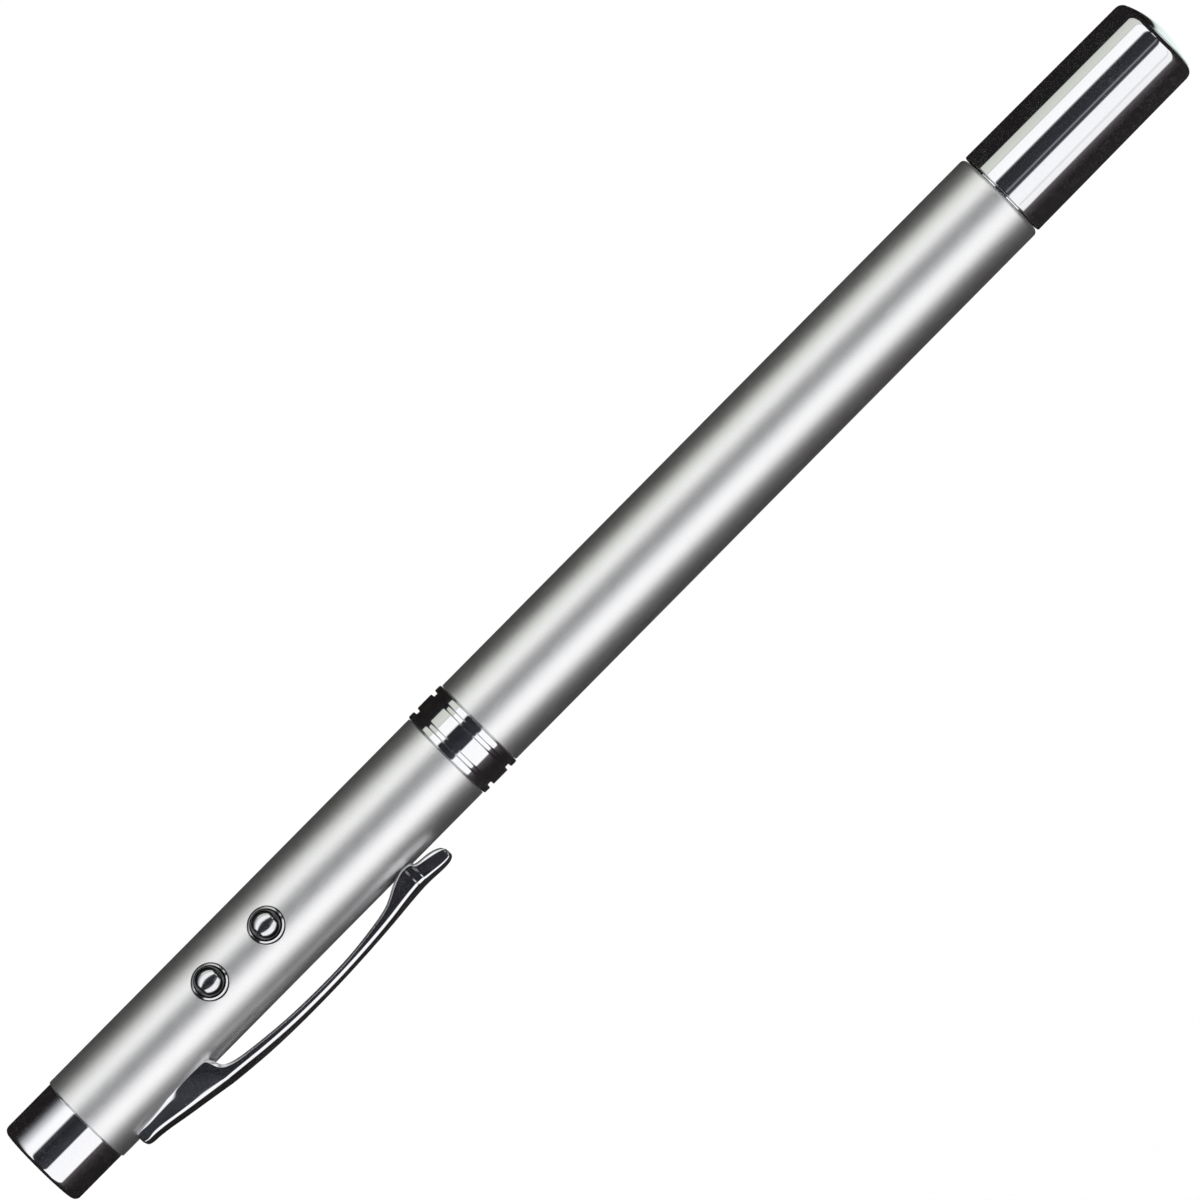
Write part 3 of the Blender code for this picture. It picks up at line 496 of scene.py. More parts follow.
lampLook = {
    "height": -1.96, "radius": 1.45, "front": 0.2, "back": 5.5, "domeSteps": 14,
    "flange": 1.59, "flangeFront": 4.9, "edge": 0.05,
}
look = lampLook
dome = [
    (look["front"] + look["radius"] * (1 - math.cos(a)), look["radius"] * math.sin(a))
    for a in evenly(0, math.pi / 2, look["domeSteps"])
]
torchLamp = turnOnPen("torchLamp", (
    *dome, (look["flangeFront"], look["radius"]), (look["flangeFront"], look["flange"], look["edge"]),
    (look["back"], look["flange"], look["edge"]), (look["back"], 0),
), closed=False, offset=look["height"], steps=64)
finishPiece(torchLamp, clear, "lens", "front_section", "torch_lamp")
print("nose cap and its windows made")


# Front barrel, with the holes for the buttons and the slot for the clip's tab

buttonLook = {
    "places": {"laser": 23.05, "torch": 30.3},
    "ball": 1.42, "dome": 1.25, "centre": 4.70, "fullness": 2.3, "domeSteps": 28,
    "cheek": 4.55, "cheekRound": 0.3, "neck": 1.21, "neckTop": 4.1, "neckRound": 0.2, "neckEdge": 0.05,
    "flange": 1.65, "flangeTop": 3.81, "flangeBottom": 3.46, "flangeEdge": 0.06,
    "bezelInner": 1.49, "bezelOuter": 1.69, "bezelTop": 4.86, "bezelRim": 4.73, "bezelBottom": 3.86,
    "bezelEdge": 0.03, "hole": 1.79, "holeFrom": 7, "holeTo": 3,
}
barrelLook = {
    "radius": 4.75, "bore": 4.30, "edge": 0.12, "rearRound": 0.44,
    "slot": (13.0, 15.0), "slotWidth": 2.0, "slotDepth": 3, "slotMiddle": -4.5, "slotRound": 0.15,
    # Rings of points that keep the front barrel smooth beside the slot and the holes, as from, to and steps
    "slotRings": (12.4, 15.6, 8), "holeRings": (20.8, 32.6, 34),
    "rearRings": (70, 95, 115),        # where the rear barrel has such rings
}
look = barrelLook
rings = evenly(*look["slotRings"]) + evenly(*look["holeRings"])
frontBarrel = turnOnPen("frontBarrel", (
    (frontStart, look["radius"], look["edge"]), *((x, look["radius"]) for x in rings),
    (frontEnd, look["radius"], look["edge"]), (frontEnd, look["bore"]), (frontStart, look["bore"]),
))
top, hole, bottom = buttonLook["holeFrom"], buttonLook["hole"], buttonLook["holeTo"]
for button, at in buttonLook["places"].items():
    cutAway(frontBarrel, turnOnButton(
        f"{button}Cutter", ((top, 0), (top, hole), (bottom, hole), (bottom, 0)), at, closed=False
    ))
slotStart, slotEnd = look["slot"]
bpy.ops.mesh.primitive_cube_add(
    size=mm, location=((slotStart + slotEnd) / 2 * mm, look["slotMiddle"] * mm, 0)
)
slotCutter = bpy.context.active_object
slotCutter.scale = (slotEnd - slotStart, look["slotDepth"], look["slotWidth"])
useModifier(slotCutter, "BEVEL", {"width": look["slotRound"] * mm, "segments": 3})
cutAway(frontBarrel, slotCutter)
finishPiece(frontBarrel, satin, "satin_silver", "front_section", "front_barrel")
print("front barrel made")


# Ball buttons in their rings

look = buttonLook
power = 2 / look["fullness"]        # fuller than a ball's half, so that its top is a little flat
dome = [
    (look["centre"] + look["dome"] * abs(math.cos(a)) ** power, look["ball"] * math.sin(a) ** power)
    for a in evenly(0, math.pi / 2, look["domeSteps"])
]
for button, at in look["places"].items():
    bezel = turnOnButton(f"{button}Bezel", (
        (look["bezelTop"], look["bezelInner"], look["bezelEdge"]),
        (look["bezelRim"], look["bezelOuter"], look["bezelEdge"]),
        (look["bezelBottom"], look["bezelOuter"]), (look["bezelBottom"], look["bezelInner"]),
    ), at, steps=96, guard=0.01)
    finishPiece(bezel, touchedChrome, "chrome", "front_section", f"{button}_bezel")
    knob = turnOnButton(f"{button}Button", (
        *dome, (look["cheek"], look["ball"], look["cheekRound"]),
        (look["neckTop"], look["neck"], look["neckRound"]),
        (look["flangeTop"], look["neck"], look["neckEdge"]),
        (look["flangeTop"], look["flange"], look["flangeEdge"]),
        (look["flangeBottom"], look["flange"], look["flangeEdge"]), (look["flangeBottom"], 0),
    ), at, closed=False, steps=96)
    finishPiece(knob, ballChrome, "chrome", f"{button}_button_body", f"{button}_button")
print("buttons made")


# Centre ring: three bands with two grooves between them, and a threaded spigot

ringLook = {
    "radius": 4.905, "start": 52.70, "end": 56.85, "band": 0.72, "edge": 0.10, "seamEdge": 0.17,
    "groove": 4.56, "grooveWidth": 0.45, "grooveEdge": 0.08,
    "spigot": 4.22, "spigotStart": 49.30, "spigotEnd": 60.05, "spigotEdge": 0.1,
    "contact": 1.6, "contactStart": 49.1, "contactEdge": 0.05,
    "threadRoot": 4.05, "threadStart": 49.65, "threadEnd": 52.4, "threadTurns": 3, "pitch": 0.85,
    "crest": (0.17, 0.25), "turnEnd": 0.42, "crestEdge": 0.03, "threadLead": 0.05,
}
look = ringLook
first, last = look["start"] + look["band"], look["end"] - look["band"] - look["grooveWidth"]
corners = [
    (look["contactStart"], 0), (look["contactStart"], look["contact"], look["contactEdge"]),
    (look["spigotStart"], look["contact"]), (look["spigotStart"], look["threadRoot"], look["contactEdge"]),
]
for turn in range(look["threadTurns"]):
    at = look["threadStart"] + look["pitch"] * turn
    corners += [
        (at, look["threadRoot"]),
        *((at + along, look["spigot"], look["crestEdge"]) for along in look["crest"]),
        (at + look["turnEnd"], look["threadRoot"]),
    ]
corners += [
    (look["threadEnd"], look["threadRoot"]), (look["threadEnd"] + look["threadLead"], look["spigot"]),
    (look["start"], look["spigot"]),
]
bands = (look["start"], first), (first + look["grooveWidth"], last), (last + look["grooveWidth"], look["end"])
for start, end in bands:
    if start > look["start"]:
        corners.append((start, look["groove"], look["grooveEdge"]))
    startEdge = look["edge"] if start > look["start"] else look["seamEdge"]
    endEdge = look["edge"] if end < look["end"] else look["seamEdge"]
    corners += [(start, look["radius"], startEdge), (end, look["radius"], endEdge)]
    if end < look["end"]:
        corners.append((end, look["groove"], look["grooveEdge"]))
corners += [
    (look["end"], look["spigot"]), (look["spigotEnd"], look["spigot"], look["spigotEdge"]),
    (look["spigotEnd"], 0),
]
centreRing = turnOnPen("centreRing", corners, closed=False, guard=0.03)
finishPiece(centreRing, chrome, "chrome", "rear_section", "centre_ring")
print("centre ring made")


# Rear barrel and the bush at its end

look = barrelLook
rearBarrel = turnOnPen("rearBarrel", (
    (rearStart, look["radius"], look["edge"]), *((x, look["radius"]) for x in look["rearRings"]),
    (rearEnd, look["radius"], look["rearRound"]), (rearEnd, look["bore"]), (rearStart, look["bore"]),
))
finishPiece(rearBarrel, satin, "satin_silver", "rear_section", "rear_barrel")

bushLook = {
    "start": 118.5, "shoulder": 124.2, "outer": 4.22, "edge": 0.1, "shoulderEdge": 0.04,
    "relief": 3.85, "reliefEdge": 0.03, "reliefEnd": 125.1, "bore": 3.27, "boreEdge": 0.12,
    "spigot": 4.15, "spigotStart": 125.3, "taper": 129.3, "end": 129.6, "endRadius": 3.85, "endEdge": 0.08,
    "groove": 4.03, "grooveStart": (126.9, 127.1), "grooveEnd": (127.5, 127.7), "grooveSoft": (0.3, 0.2),
}
look = bushLook
outSoft, inSoft = look["grooveSoft"]
endBush = turnOnPen("endBush", (
    (look["start"], look["outer"], look["edge"]), (look["shoulder"], look["outer"], look["shoulderEdge"]),
    (look["shoulder"], look["relief"], look["reliefEdge"]), (look["reliefEnd"], look["relief"]),
    (look["spigotStart"], look["spigot"], look["edge"]),
    (look["grooveStart"][0], look["spigot"], outSoft), (look["grooveStart"][1], look["groove"], inSoft),
    (look["grooveEnd"][0], look["groove"], inSoft), (look["grooveEnd"][1], look["spigot"], outSoft),
    (look["taper"], look["spigot"], inSoft), (look["end"], look["endRadius"], look["endEdge"]),
    (look["end"], look["bore"], look["boreEdge"]), (look["start"], look["bore"]),
), guard=0.02)
finishPiece(endBush, chrome, "chrome", "rear_section", "end_bush")
print("rear barrel and bush made")


# Telescopic rods, with rolled ends

rodLook = {
    "radii": (3.15, 2.73, 2.31, 1.89), "wall": 0.3, "start": 64.0, "startStep": 0.6,
    "end": 124.55, "endStep": 0.2, "lastEnd": 129.5,
    "rolledIn": 0.07, "rolledLength": 0.8, "rollLead": 0.25, "rollSoft": 0.5,
    "startEdge": 0.08, "endEdge": 0.1, "innerEdge": 0.06,
}
look = rodLook
for number, outer in enumerate(look["radii"], start=1):
    start = look["start"] + (number - 1) * look["startStep"]
    end = look["end"] + number * look["endStep"] if number < len(look["radii"]) else look["lastEnd"]
    inner, rolled = outer - look["wall"], outer - look["rolledIn"]
    rollStart = end - look["rolledLength"]
    rod = turnOnPen(f"rod{number}", (
        (start, outer, look["startEdge"]), (rollStart - look["rollLead"], outer, look["rollSoft"]),
        (rollStart, rolled, look["rollSoft"]), (end, rolled, look["endEdge"]),
        (end, inner, look["innerEdge"]), (start, inner),
    ), steps=96, guard=0.02)
    finishPiece(rod, chrome, "chrome", f"rod_body_{number}", f"rod_{number}")
print("rods made")


# Nib cone and refill on the last rod

nibLook = {
    "start": 125.35, "collar": 2.98, "collarEnd": 126.95, "collarEdge": 0.12, "seat": 1.94,
    "groove": 2.88, "grooveStart": (125.8, 125.85), "grooveEnd": (126.0, 126.05), "grooveEdge": (0.04, 0.03),
    "neck": 2.54, "neckEnd": 129.55, "neckEdge": 0.08, "neckSoft": 3.0,
    "end": 136.95, "endRadius": 1.47, "endEdge": 0.1, "bore": 1.22,
}
look = nibLook
outEdge, inEdge = look["grooveEdge"]
nibCone = turnOnPen("nibCone", (
    (look["start"], look["collar"], look["collarEdge"]),
    (look["grooveStart"][0], look["collar"], outEdge), (look["grooveStart"][1], look["groove"], inEdge),
    (look["grooveEnd"][0], look["groove"], inEdge), (look["grooveEnd"][1], look["collar"], outEdge),
    (look["collarEnd"], look["collar"], look["collarEdge"]),
    (look["collarEnd"], look["neck"], look["neckEdge"]), (look["neckEnd"], look["neck"], look["neckSoft"]),
    (look["end"], look["endRadius"], look["endEdge"]), (look["end"], look["bore"]),
    (look["neckEnd"], look["bore"]), (look["neckEnd"], look["seat"]), (look["start"], look["seat"]),
), steps=96, guard=0.02)
finishPiece(nibCone, chrome, "chrome", "rod_body_4", "nib_cone")

tipLook = {
    "start": 131.95, "radius": 1.1, "startEdge": 0.05, "shoulder": 136.75, "shoulderSoft": 0.3,
    "waist": 0.62, "waistAt": 138.9, "waistSoft": 0.4, "end": 139.65, "endRadius": 0.45, "endEdge": 0.04,
    "socket": 0.38, "floor": 139.25, "ball": 0.35,
}
look = tipLook
refillTip = turnOnPen("refillTip", (
    (look["start"], 0), (look["start"], look["radius"], look["startEdge"]),
    (look["shoulder"], look["radius"], look["shoulderSoft"]),
    (look["waistAt"], look["waist"], look["waistSoft"]),
    (look["end"], look["endRadius"], look["endEdge"]), (look["end"], look["socket"]),
    (look["floor"], look["socket"]), (look["floor"], 0),
), closed=False, steps=64, guard=0.02)
finishPiece(refillTip, brass, "brass", "rod_body_4", "refill_tip")

bpy.ops.object.select_all(action="DESELECT")
bpy.ops.mesh.primitive_uv_sphere_add(
    segments=32, ring_count=20, radius=look["ball"] * mm,
    location=((look["floor"] + look["socket"]) * mm, 0, 0),
)
writingBall = bpy.context.active_object
writingBall.name = "writingBall"
finishPiece(writingBall, steel, "spring_steel", "rod_body_4", "writing_ball")
print("nib made")


# End cap and its liner

capLook = {
    "gap": 0.16, "mouth": 4.69, "mouthIn": 0.002, "mouthEdge": 0.15, "bore": 4.25, "boreEdge": 0.06,
    "floor": 142.8, "floorEdge": 0.1,
    # How far the cap narrows from its mouth to its end, and what share of that by each place along it
    "taper": 0.11, "narrowed": ((130, 0.25), (137, 0.58)), "shoulder": 0.8, "shoulderNarrowed": 0.92,
    "round": 0.9, "dome": 0.88, "domeWidth": 4.0, "domeShare": 0.97, "domeSteps": 14,
}
look = capLook
mouthAt = rearEnd + look["gap"]
crown = [
    (capEnd - look["dome"] * share * share, look["domeWidth"] * share)
    for share in evenly(look["domeShare"], 0, look["domeSteps"])
]
endCap = turnOnPen("endCap", (
    (look["floor"], 0), (look["floor"], look["bore"], look["floorEdge"]),
    (mouthAt, look["bore"], look["boreEdge"]), (mouthAt, look["mouth"] - look["mouthIn"], look["mouthEdge"]),
    *((x, look["mouth"] - look["taper"] * share) for x, share in look["narrowed"]),
    (capEnd - look["shoulder"], look["mouth"] - look["taper"] * look["shoulderNarrowed"], look["round"]),
    *crown,
), closed=False, steps=160, guard=0.03)
finishPiece(endCap, chrome, "chrome", "cap_body", "end_cap")

linerLook = {
    "start": 130.3, "end": 142.75, "outer": 4.17, "edge": 0.1, "inner": 2.94, "floor": 141.25,
    "floorRound": 0.3, "mouthRound": 0.35,
}
look = linerLook
capLiner = turnOnPen("capLiner", (
    (look["floor"], 0), (look["floor"], look["inner"], look["floorRound"]),
    (look["start"], look["inner"], look["mouthRound"]), (look["start"], look["outer"], look["edge"]),
    (look["end"], look["outer"], look["edge"]), (look["end"], 0),
), closed=False, steps=96)
finishPiece(capLiner, whitePlastic, "white_plastic", "cap_body", "cap_liner")
print("end cap made")


# Pocket clip: folded from sheet, with its walls spread down on to the barrel at the root

clipLook = {
    "sheet": 0.45, "softCorner": 0.74, "tightCorner": 0.4, "crease": 0.45, "fineness": 2, "below": -5,
    "crown": 0.04, "halfwayUp": 0.75,        # the roof's rise at its middle, and its share halfway there
    # The corner's turns in degrees from an upright wall: soft out of the wall, tight under the roof
    "softTurns": (18, 26, 34, 42), "tightTurns": (42, 54, 66, 78, 90), "lip": (0.12, 0.16),
    # How far the wall's top leans in, as (along, degrees), the share of it that leans, and its points' shares
    "leans": ((12.2, 4), (15.2, 19), (17.3, 19), (17.9, 5)), "leaning": 0.4, "wallShares": (0, 0.33, 0.67),
    "tab": 1.7, "tabAt": (14.0, -5.2), "tabRound": 0.12,
    # Along, roof height, half width at the walls' top, half width and height at their bottom, corner, lip
    "stations": (
        (8.50, 4.95, 0.80, 0.85, 4.78, 0.15, 0.0), (8.30, 5.20, 0.98, 1.05, 4.72, 0.2, 0.0),
        (8.28, 5.43, 1.14, 1.24, 4.68, 0.3, 0.05), (8.42, 5.61, 1.26, 1.38, 4.66, 0.4, 0.1),
        (8.72, 5.71, 1.34, 1.48, 4.65, 0.3, 0.1), (9.15, 5.76, 1.38, 1.54, 4.64, 0.5, 0.25),
        (9.6, 5.80, 1.40, 1.58, 4.62, 0.9, 0.35),
        (10.5, 5.91, 1.42, 1.62, 4.59, 1, 0.35), (11.2, 6.02, 1.46, 1.68, 4.56, 1, 0.5),
        (12.0, 6.16, 1.52, 1.78, 4.52, 1, 0.7), (12.5, 6.25, 1.54, 1.84, 4.48, 1, 0.9),
        (12.85, 6.31, 1.55, 1.92, 4.42, 1, 0.6), (13.2, 6.37, 1.56, 1.98, 4.37, 1, 0.2),
        (13.7, 6.45, 1.57, 2.03, 4.33, 1, 0.1), (15.0, 6.66, 1.59, 2.06, 4.32, 1, 0.1),
        (16.0, 6.82, 1.65, 2.05, 4.32, 1, 0.1), (17.0, 6.98, 1.71, 2.02, 4.34, 1, 0.1),
        (17.40, 7.04, 1.76, 1.96, 4.36, 1, 0.05), (17.62, 7.08, 1.78, 1.91, 4.56, 1, 0.08),
        (17.82, 7.11, 1.79, 1.87, 5.35, 1, 0.1), (18.15, 7.14, 1.81, 1.86, 5.95, 1, 0.1),
        (19.0, 7.24, 1.81, 1.87, 6.33, 1, 0.1), (20.2, 7.36, 1.78, 1.82, 6.58, 1, 0.05),
        (22.0, 7.55, 1.63, 1.67, 6.78, 1, 0.05), (25.0, 7.74, 1.30, 1.34, 7.05, 1, 0.05),
        (28.0, 7.80, 1.08, 1.12, 7.14, 1, 0.05), (31.0, 7.78, 1.00, 1.04, 7.14, 1, 0.05),
        (34.0, 7.67, 1.00, 1.04, 7.05, 1, 0.05), (37.0, 7.48, 1.08, 1.11, 6.68, 1, 0.05),
        (39.0, 7.30, 1.22, 1.25, 6.37, 1, 0.1), (40.0, 7.18, 1.37, 1.40, 5.92, 1, 0.15),
        (41.0, 7.07, 1.49, 1.52, 5.38, 1, 0.2), (42.0, 6.98, 1.57, 1.57, 5.03, 1, 0.2),
        (42.45, 6.96, 1.58, 1.58, 4.95, 1, 0.2), (42.53, 6.96, 1.58, 1.58, 4.94, 1, 0.2),
        (42.68, 6.96, 1.46, 1.46, 4.93, 1, 0.2), (42.78, 6.96, 1.45, 1.45, 4.93, 1, 0.2),
        (43.2, 6.96, 1.45, 1.45, 5.02, 0.95, 0.2), (43.3, 6.96, 1.45, 1.44, 5.10, 0.9, 0.25),
        (43.45, 6.96, 1.33, 1.32, 5.36, 0.8, 0.35), (43.56, 6.97, 1.32, 1.31, 5.48, 0.75, 0.4),
        (44.2, 7.00, 1.27, 1.25, 5.60, 0.65, 0.8), (45.0, 7.07, 1.14, 1.14, 5.70, 0.6, 1.1),
        (45.6, 7.09, 1.02, 1.02, 5.80, 0.55, 1.1), (46.1, 7.06, 0.88, 0.88, 5.92, 0.5, 0.9),
        (46.45, 6.93, 0.74, 0.74, 6.04, 0.4, 0.4), (46.64, 6.74, 0.60, 0.60, 6.16, 0.25, 0.2),
        (46.66, 6.50, 0.46, 0.46, 6.26, 0.15, 0.1),
    ),
}


def clipCorner(size):        # from the wall's top, at (0, 0), round to the roof, as (out, up)
    look = clipLook
    place = Vector((0, 0))
    points = [place]
    arcs = (look["softTurns"], look["softCorner"]), (look["tightTurns"], look["tightCorner"])
    for turns, radius in arcs:
        directions = [Vector((math.cos(math.radians(turn)), math.sin(math.radians(turn)))) for turn in turns]
        for here, there in zip(directions, directions[1:]):
            place = place + (there - here) * radius * size
            points.append(place)
    return points


def clipRow(station):        # points across the clip, from one wall's bottom over the roof to the other's
    along, roof, half, foot, bottom, corner, lip = station
    look = clipLook
    rounded = clipCorner(corner)
    wallTop = Vector((half, roof - rounded[-1].y))
    wallFoot = Vector((foot, bottom))
    lean = math.radians(follow(look["leans"], along))
    knee = wallTop + Vector((math.sin(lean), -math.cos(lean))) * (wallTop.y - bottom) * look["leaning"]
    wall = [wallFoot.lerp(knee, t).lerp(knee.lerp(wallTop, t), t) for t in look["wallShares"]]
    lipFoot = wallFoot + Vector((look["lip"][0], -look["lip"][1])) * lip
    side = [lipFoot] + wall + [wallTop + p for p in rounded]
    side.append(Vector((side[-1].x / 2, roof + look["crown"] * look["halfwayUp"])))
    row = side + [Vector((0, roof + look["crown"]))] + [Vector((-p.x, p.y)) for p in side[::-1]]
    return [Vector((along, -p.y, p.x)) * mm for p in row]


def foldClip():
    rows = [clipRow(station) for station in clipLook["stations"]]
    bpy.ops.object.select_all(action="DESELECT")
    bpy.ops.mesh.primitive_grid_add(x_subdivisions=len(rows) - 1, y_subdivisions=len(rows[0]) - 1, size=1)
    clip = bpy.context.active_object
    clip.name = "clip"
    clip.data.name = "clip"
    bpy.ops.object.mode_set(mode="EDIT")
    sheet = bmesh.from_edit_mesh(clip.data)
    columns = sorted({round(v.co.x, 5) for v in sheet.verts})
    ranks = sorted({round(v.co.y, 5) for v in sheet.verts})
    for vert in sheet.verts:
        vert.co = rows[columns.index(round(vert.co.x, 5))][ranks.index(round(vert.co.y, 5))]
    bmesh.update_edit_mesh(clip.data)
    bpy.ops.mesh.select_all(action="SELECT")
    bpy.ops.mesh.normals_make_consistent(inside=False)
    bpy.ops.object.mode_set(mode="OBJECT")
    below = Vector((0, clipLook["below"] * mm, 0))        # the side that its faces look away from
    if sum(face.normal.dot(face.center - below) for face in clip.data.polygons) < 0:
        clip.data.flip_normals()
    return clip


look = clipLook
clip = foldClip()
useModifier(clip, "SOLIDIFY", {
    "thickness": look["sheet"] * mm, "offset": -1, "use_even_offset": True,
    "edge_crease_outer": look["crease"], "edge_crease_inner": look["crease"],
})
useModifier(clip, "SUBSURF", {"levels": look["fineness"], "render_levels": look["fineness"]})
finishPiece(clip, chrome, "chrome", "clip_body", "clip", smoothing=60)

bpy.ops.object.select_all(action="DESELECT")
bpy.ops.mesh.primitive_cube_add(
    size=look["tab"] * mm, location=(look["tabAt"][0] * mm, look["tabAt"][1] * mm, 0)
)
clipTab = bpy.context.active_object
clipTab.name = "clipTab"
bpy.ops.object.transform_apply(location=True, rotation=False, scale=False)
useModifier(clipTab, "BEVEL", {"width": look["tabRound"] * mm, "segments": 3})
finishPiece(clipTab, chrome, "chrome", "clip_body")
print("clip made")


# CAD pieces that keep their shape

keptFinishes = {
    "module_holder": blackPlastic, "laser_housing": brass, "laser_diode": brass,
    "laser_lead_1": steel, "laser_lead_2": steel, "torch_lead_1": steel, "torch_lead_2": steel,
    "circuit_board": boardGreen, "laser_switch": blackPlastic, "torch_switch": blackPlastic,
    "laser_plunger": blackPlastic, "torch_plunger": blackPlastic,
    "resistor_1": blackPlastic, "resistor_2": blackPlastic, "clip_anchor": steel,
    "insulating_sleeve": whitePlastic, "battery_contact": brass, "battery_spring": steel,
    "cell_1": steel, "cell_2": steel, "cell_3": steel,
    "rod_plug": blackPlastic, "rod_sleeve": brass, "refill_tube": blackPlastic,
}
for node, material in keptFinishes.items():
    mesh = bpy.data.objects[node].data
    mesh.materials.clear()
    mesh.materials.append(material)
print("inner pieces finished")


# Camera: it looks down on the pen, square to its axis, from 10 degrees beside the line of the buttons

cameraLook = {
    "fromButtons": 10, "slant": 45.3, "distance": 1100, "lens": 362, "middle": 72.6, "aside": -0.01,
    "sees": (0.05, 6),        # from how near to how far, in metres
}
look = cameraLook
lean = math.radians(look["fromButtons"]) + penRoll
toCamera = Vector((0, -math.sin(lean), math.cos(lean)))
alongPen = Vector((1, 0, 0))
beside = alongPen.cross(toCamera)
slant = math.radians(look["slant"])
pictureRight = alongPen * math.cos(slant) + beside * math.sin(slant)
pictureUp = alongPen * math.sin(slant) - beside * math.cos(slant)
middle = (alongPen * look["middle"] + beside * look["aside"]) * mm
turn = Matrix((pictureRight, pictureUp, toCamera)).transposed()
bpy.ops.object.camera_add(location=middle + toCamera * look["distance"] * mm, rotation=turn.to_euler())
camera = bpy.context.active_object
camera.data.lens = look["lens"]
camera.data.clip_start, camera.data.clip_end = look["sees"]
bpy.context.scene.camera = camera


# Studio: white all round to the eye. In the reflections the pen lies in a dark tunnel along its own axis,
# with two long white panels, so that what shines depends on the angle round the pen.

# Angle from the camera round the pen in degrees, and the light that comes from there
tunnelLook = {
    "radius": 480, "strength": 1.3, "noseEnd": -19, "capStart": 147, "farStart": 620, "farEnd": 860,
    "light": (
        (-180, (0.012, 0.010, 0.009)), (-110, (0.011, 0.009, 0.009)), (-84, (0.013, 0.012, 0.013)),
        (-81, (0.02, 0.02, 0.02)), (-80, (0.58, 0.60, 0.54)), (-57, (0.66, 0.68, 0.62)),
        (-55.6, (0.3, 0.3, 0.28)), (-54.5, (0.97, 0.97, 0.97)), (-33, (1, 1, 1)), (-29.5, (0.9, 0.9, 0.9)),
        (-27, (0.024, 0.024, 0.027)), (-10, (0.017, 0.018, 0.022)), (5, (0.03, 0.031, 0.037)),
        (14.5, (0.04, 0.041, 0.047)), (16.5, (0.97, 0.97, 1)),
        (40, (1, 1, 1)), (63, (1, 0.99, 0.99)), (66, (0.11, 0.10, 0.105)), (76, (0.045, 0.04, 0.043)),
        (90, (0.018, 0.015, 0.016)), (115, (0.014, 0.012, 0.012)), (160, (0.02, 0.018, 0.018)),
        (180, (0.03, 0.028, 0.028)),
    ),
    "noseLight": (
        (-180, (0.012, 0.010, 0.009)), (-97, (0.014, 0.012, 0.013)), (-88, (0.04, 0.04, 0.043)),
        (-80, (0.14, 0.14, 0.15)), (-72, (0.34, 0.34, 0.36)), (-63, (0.6, 0.6, 0.62)),
        (-54, (0.9, 0.9, 0.93)), (-46, (1, 1, 1)), (-32, (1, 1, 1)), (-27, (0.04, 0.04, 0.045)),
        (-15, (0.017, 0.018, 0.022)), (5, (0.035, 0.036, 0.042)), (14.5, (0.04, 0.041, 0.047)),
        (16.5, (0.97, 0.97, 1)), (63, (1, 0.99, 0.99)),
        (66, (0.09, 0.08, 0.085)), (80, (0.03, 0.026, 0.028)), (100, (0.014, 0.012, 0.012)),
        (180, (0.012, 0.011, 0.011)),
    ),
    "capLight": (
        (-180, (0.75, 0.84, 0.80)), (-177.5, (0.7, 0.8, 0.76)), (-176, (0.012, 0.010, 0.009)),
        (-84, (0.013, 0.012, 0.013)), (-81, (0.02, 0.02, 0.02)), (-80, (0.58, 0.60, 0.54)),
        (-57, (0.66, 0.68, 0.62)), (-55.6, (0.3, 0.3, 0.28)), (-54.5, (0.97, 0.97, 0.97)), (-31, (1, 1, 1)),
        (-28.5, (0.3, 0.3, 0.31)), (-26, (0.024, 0.024, 0.027)), (1, (0.03, 0.031, 0.037)),
        (2.4, (0.2, 0.2, 0.22)), (3.4, (0.07, 0.07, 0.08)), (4.6, (0.32, 0.32, 0.34)),
        (6, (0.04, 0.04, 0.047)), (12.5, (0.05, 0.051, 0.057)), (15, (0.93, 0.94, 0.96)),
        (42, (0.95, 0.95, 0.96)), (45, (0.76, 0.76, 0.77)), (47, (0.76, 0.76, 0.77)),
        (50, (0.93, 0.93, 0.93)), (62, (0.9, 0.89, 0.89)),
        (65, (0.11, 0.10, 0.105)), (76, (0.045, 0.04, 0.043)), (90, (0.018, 0.015, 0.016)),
        (170, (0.02, 0.018, 0.018)), (172.5, (0.8, 0.89, 0.86)), (180, (0.78, 0.86, 0.83)),
    ),
    "farLight": (
        (-180, (0.015, 0.015, 0.015)), (-25, (0.015, 0.015, 0.015)), (-22, (0.8, 0.8, 0.8)),
        (-5, (0.8, 0.8, 0.8)), (-1, (0.015, 0.015, 0.015)), (180, (0.015, 0.015, 0.015)),
    ),
}


def glow(cloth, colour, strength):        # the cloth only shines
    return cloth.surface(cloth.node("ShaderNodeEmission", inputs={"Color": colour, "Strength": strength}))


def hideExceptInReflections(card):
    card.visible_camera = False
    card.visible_shadow = False
    card.visible_diffuse = False
    card.visible_transmission = False


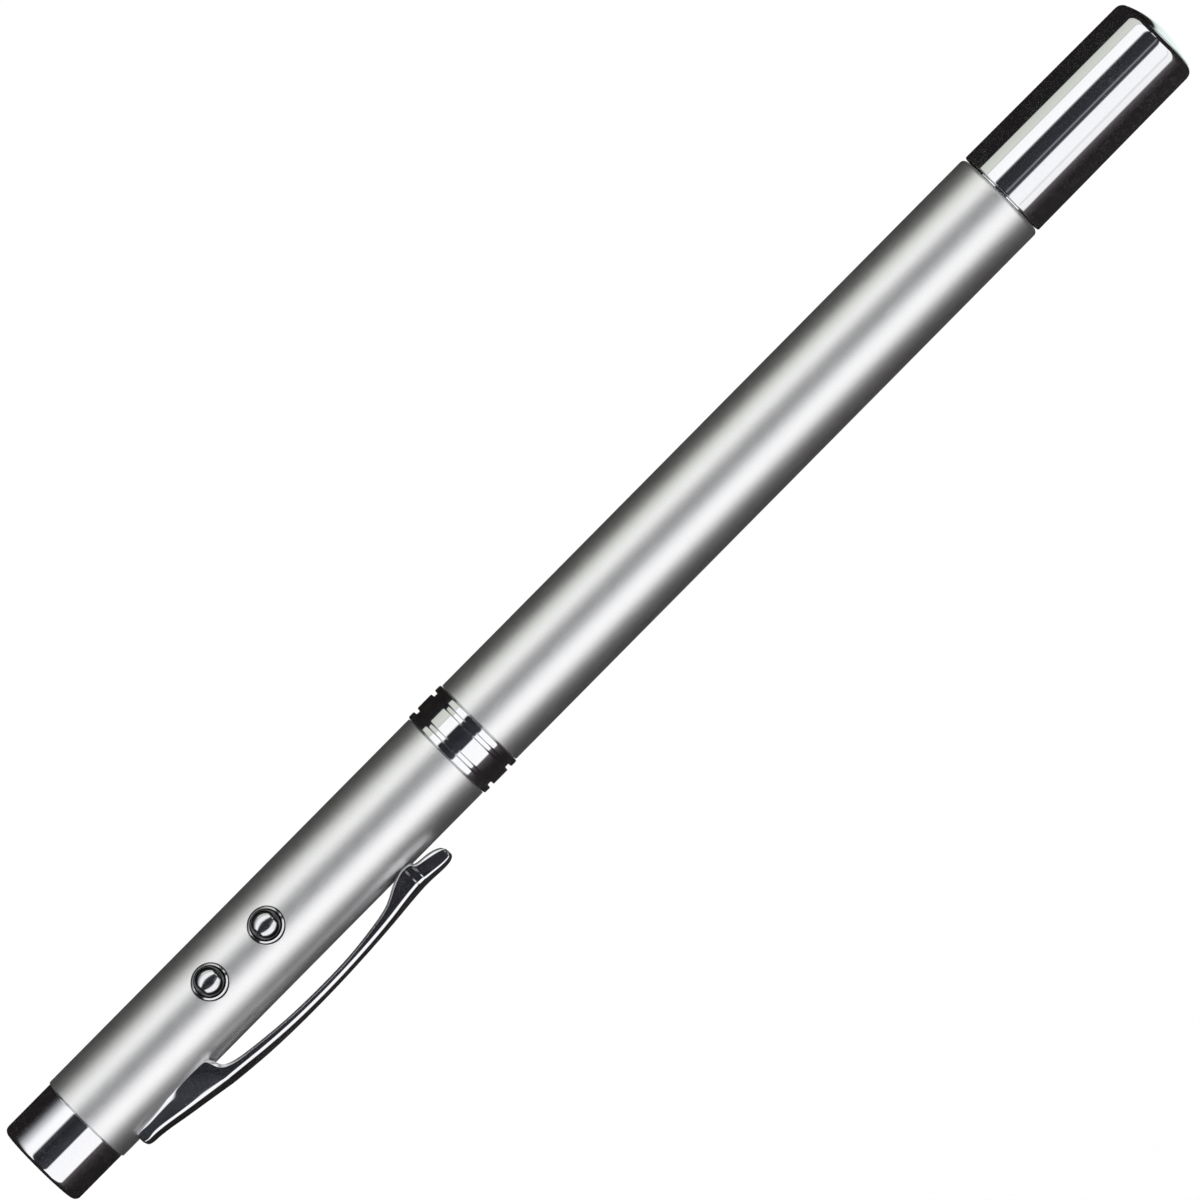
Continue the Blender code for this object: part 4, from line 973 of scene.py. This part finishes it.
def addTunnel(name, start, end, light):        # open at both ends, from one place along the pen to another
    cloth = Finish(name + "Glow")
    place = cloth.place()
    towards = cloth.node("ShaderNodeSeparateXYZ", inputs={"Vector": place}, output="X")
    aside = cloth.node("ShaderNodeSeparateXYZ", inputs={"Vector": place}, output="Y")
    share = cloth.sum("ARCTAN2", aside, towards) / (2 * math.pi) + 0.5
    colour = cloth.ramp(share, [((angle + 180) / 360, level) for angle, level in light])
    bpy.ops.object.select_all(action="DESELECT")
    bpy.ops.mesh.primitive_cylinder_add(
        vertices=128, radius=tunnelLook["radius"] * mm, depth=(end - start) * mm, end_fill_type="NOTHING"
    )
    tunnel = bpy.context.active_object
    tunnel.name = name
    around = Matrix((toCamera, beside, alongPen)).transposed().to_4x4()
    tunnel.matrix_world = Matrix.Translation(alongPen * (start + end) / 2 * mm) @ around
    tunnel.data.materials.append(glow(cloth, colour, tunnelLook["strength"]))
    hideExceptInReflections(tunnel)


look = tunnelLook
nearEnd, farEnd = capEnd + look["farStart"], capEnd + look["farEnd"]
addTunnel("tunnel", look["noseEnd"], look["capStart"], look["light"])
addTunnel("noseTunnel", -look["farEnd"], look["noseEnd"], look["noseLight"])
addTunnel("capTunnel", look["capStart"], nearEnd, look["capLight"])
addTunnel("farTunnel", nearEnd, farEnd, look["farLight"])

tentLook = {"radius": 2600, "colour": (0.016, 0.014, 0.013), "patch": (0.022, 0.021, 0.023), "patches": 1.5}
look = tentLook
bpy.ops.object.select_all(action="DESELECT")
bpy.ops.mesh.primitive_uv_sphere_add(segments=48, ring_count=24, radius=look["radius"] * mm)
tent = bpy.context.active_object
tent.name = "tent"
cloth = Finish("tentCloth")
patches = cloth.noise(cloth.place(), look["patches"])
tent.data.materials.append(glow(cloth, cloth.mixColour(patches, look["colour"], look["patch"]), 1))
hideExceptInReflections(tent)

floorLook = {
    "height": -120, "radius": 700, "colour": (0.97, 0.97, 0.97), "grains": 500, "grained": 0.1,
    "fade": (0.3, 0.95),        # the shares of the radius at which it starts to fade and is gone
}
look = floorLook
bpy.ops.object.select_all(action="DESELECT")
bpy.ops.mesh.primitive_circle_add(
    vertices=96, radius=look["radius"] * mm, fill_type="NGON",
    location=(cameraLook["middle"] * mm, 0, look["height"] * mm),
)
floor = bpy.context.active_object
floor.name = "floor"
floor.visible_glossy = False
floor.visible_transmission = False
paper = Finish("paper")
fromMiddle = paper.node("ShaderNodeVectorMath", {"operation": "LENGTH"}, {0: paper.place()}, output="Value")
fadeStart, fadeEnd = look["fade"]
fade = paper.ramp(fromMiddle / (look["radius"] * mm), ((fadeStart, 0), (fadeEnd, 1)))
grains = paper.noise(paper.place(), look["grains"])
grain = paper.mixColour(grains * look["grained"], look["colour"], (1, 1, 1))
behind = paper.node("ShaderNodeNewGeometry", output="Backfacing")        # it hides nothing from below
floor.data.materials.append(paper.surface(paper.node("ShaderNodeMixShader", inputs={
    0: paper.sum("MAXIMUM", fade, behind),
    1: paper.node("ShaderNodeBsdfDiffuse", inputs={"Color": grain}),
    2: paper.node("ShaderNodeBsdfTransparent"),
})))

# The world lights at a plain level, and the eye, metal and glass see it pure white
worldLook = {"colour": (1, 1, 1), "light": 1.05, "seenAs": 1}
look = worldLook
sky = Finish("world", bpy.data.worlds, "ShaderNodeOutputWorld")
toEye, toMetal, toGlass = (
    sky.node("ShaderNodeLightPath", output=f"Is {ray} Ray") for ray in ("Camera", "Glossy", "Transmission")
)
bpy.context.scene.world = sky.surface(sky.node("ShaderNodeMixShader", inputs={
    0: sky.sum("MAXIMUM", sky.sum("MAXIMUM", toEye, toMetal), toGlass),
    1: sky.node("ShaderNodeBackground", inputs={"Color": look["colour"], "Strength": look["light"]}),
    2: sky.node("ShaderNodeBackground", inputs={"Color": look["colour"], "Strength": look["seenAs"]}),
}))
bpy.context.scene.view_settings.view_transform = "Standard"
print("camera and studio set")
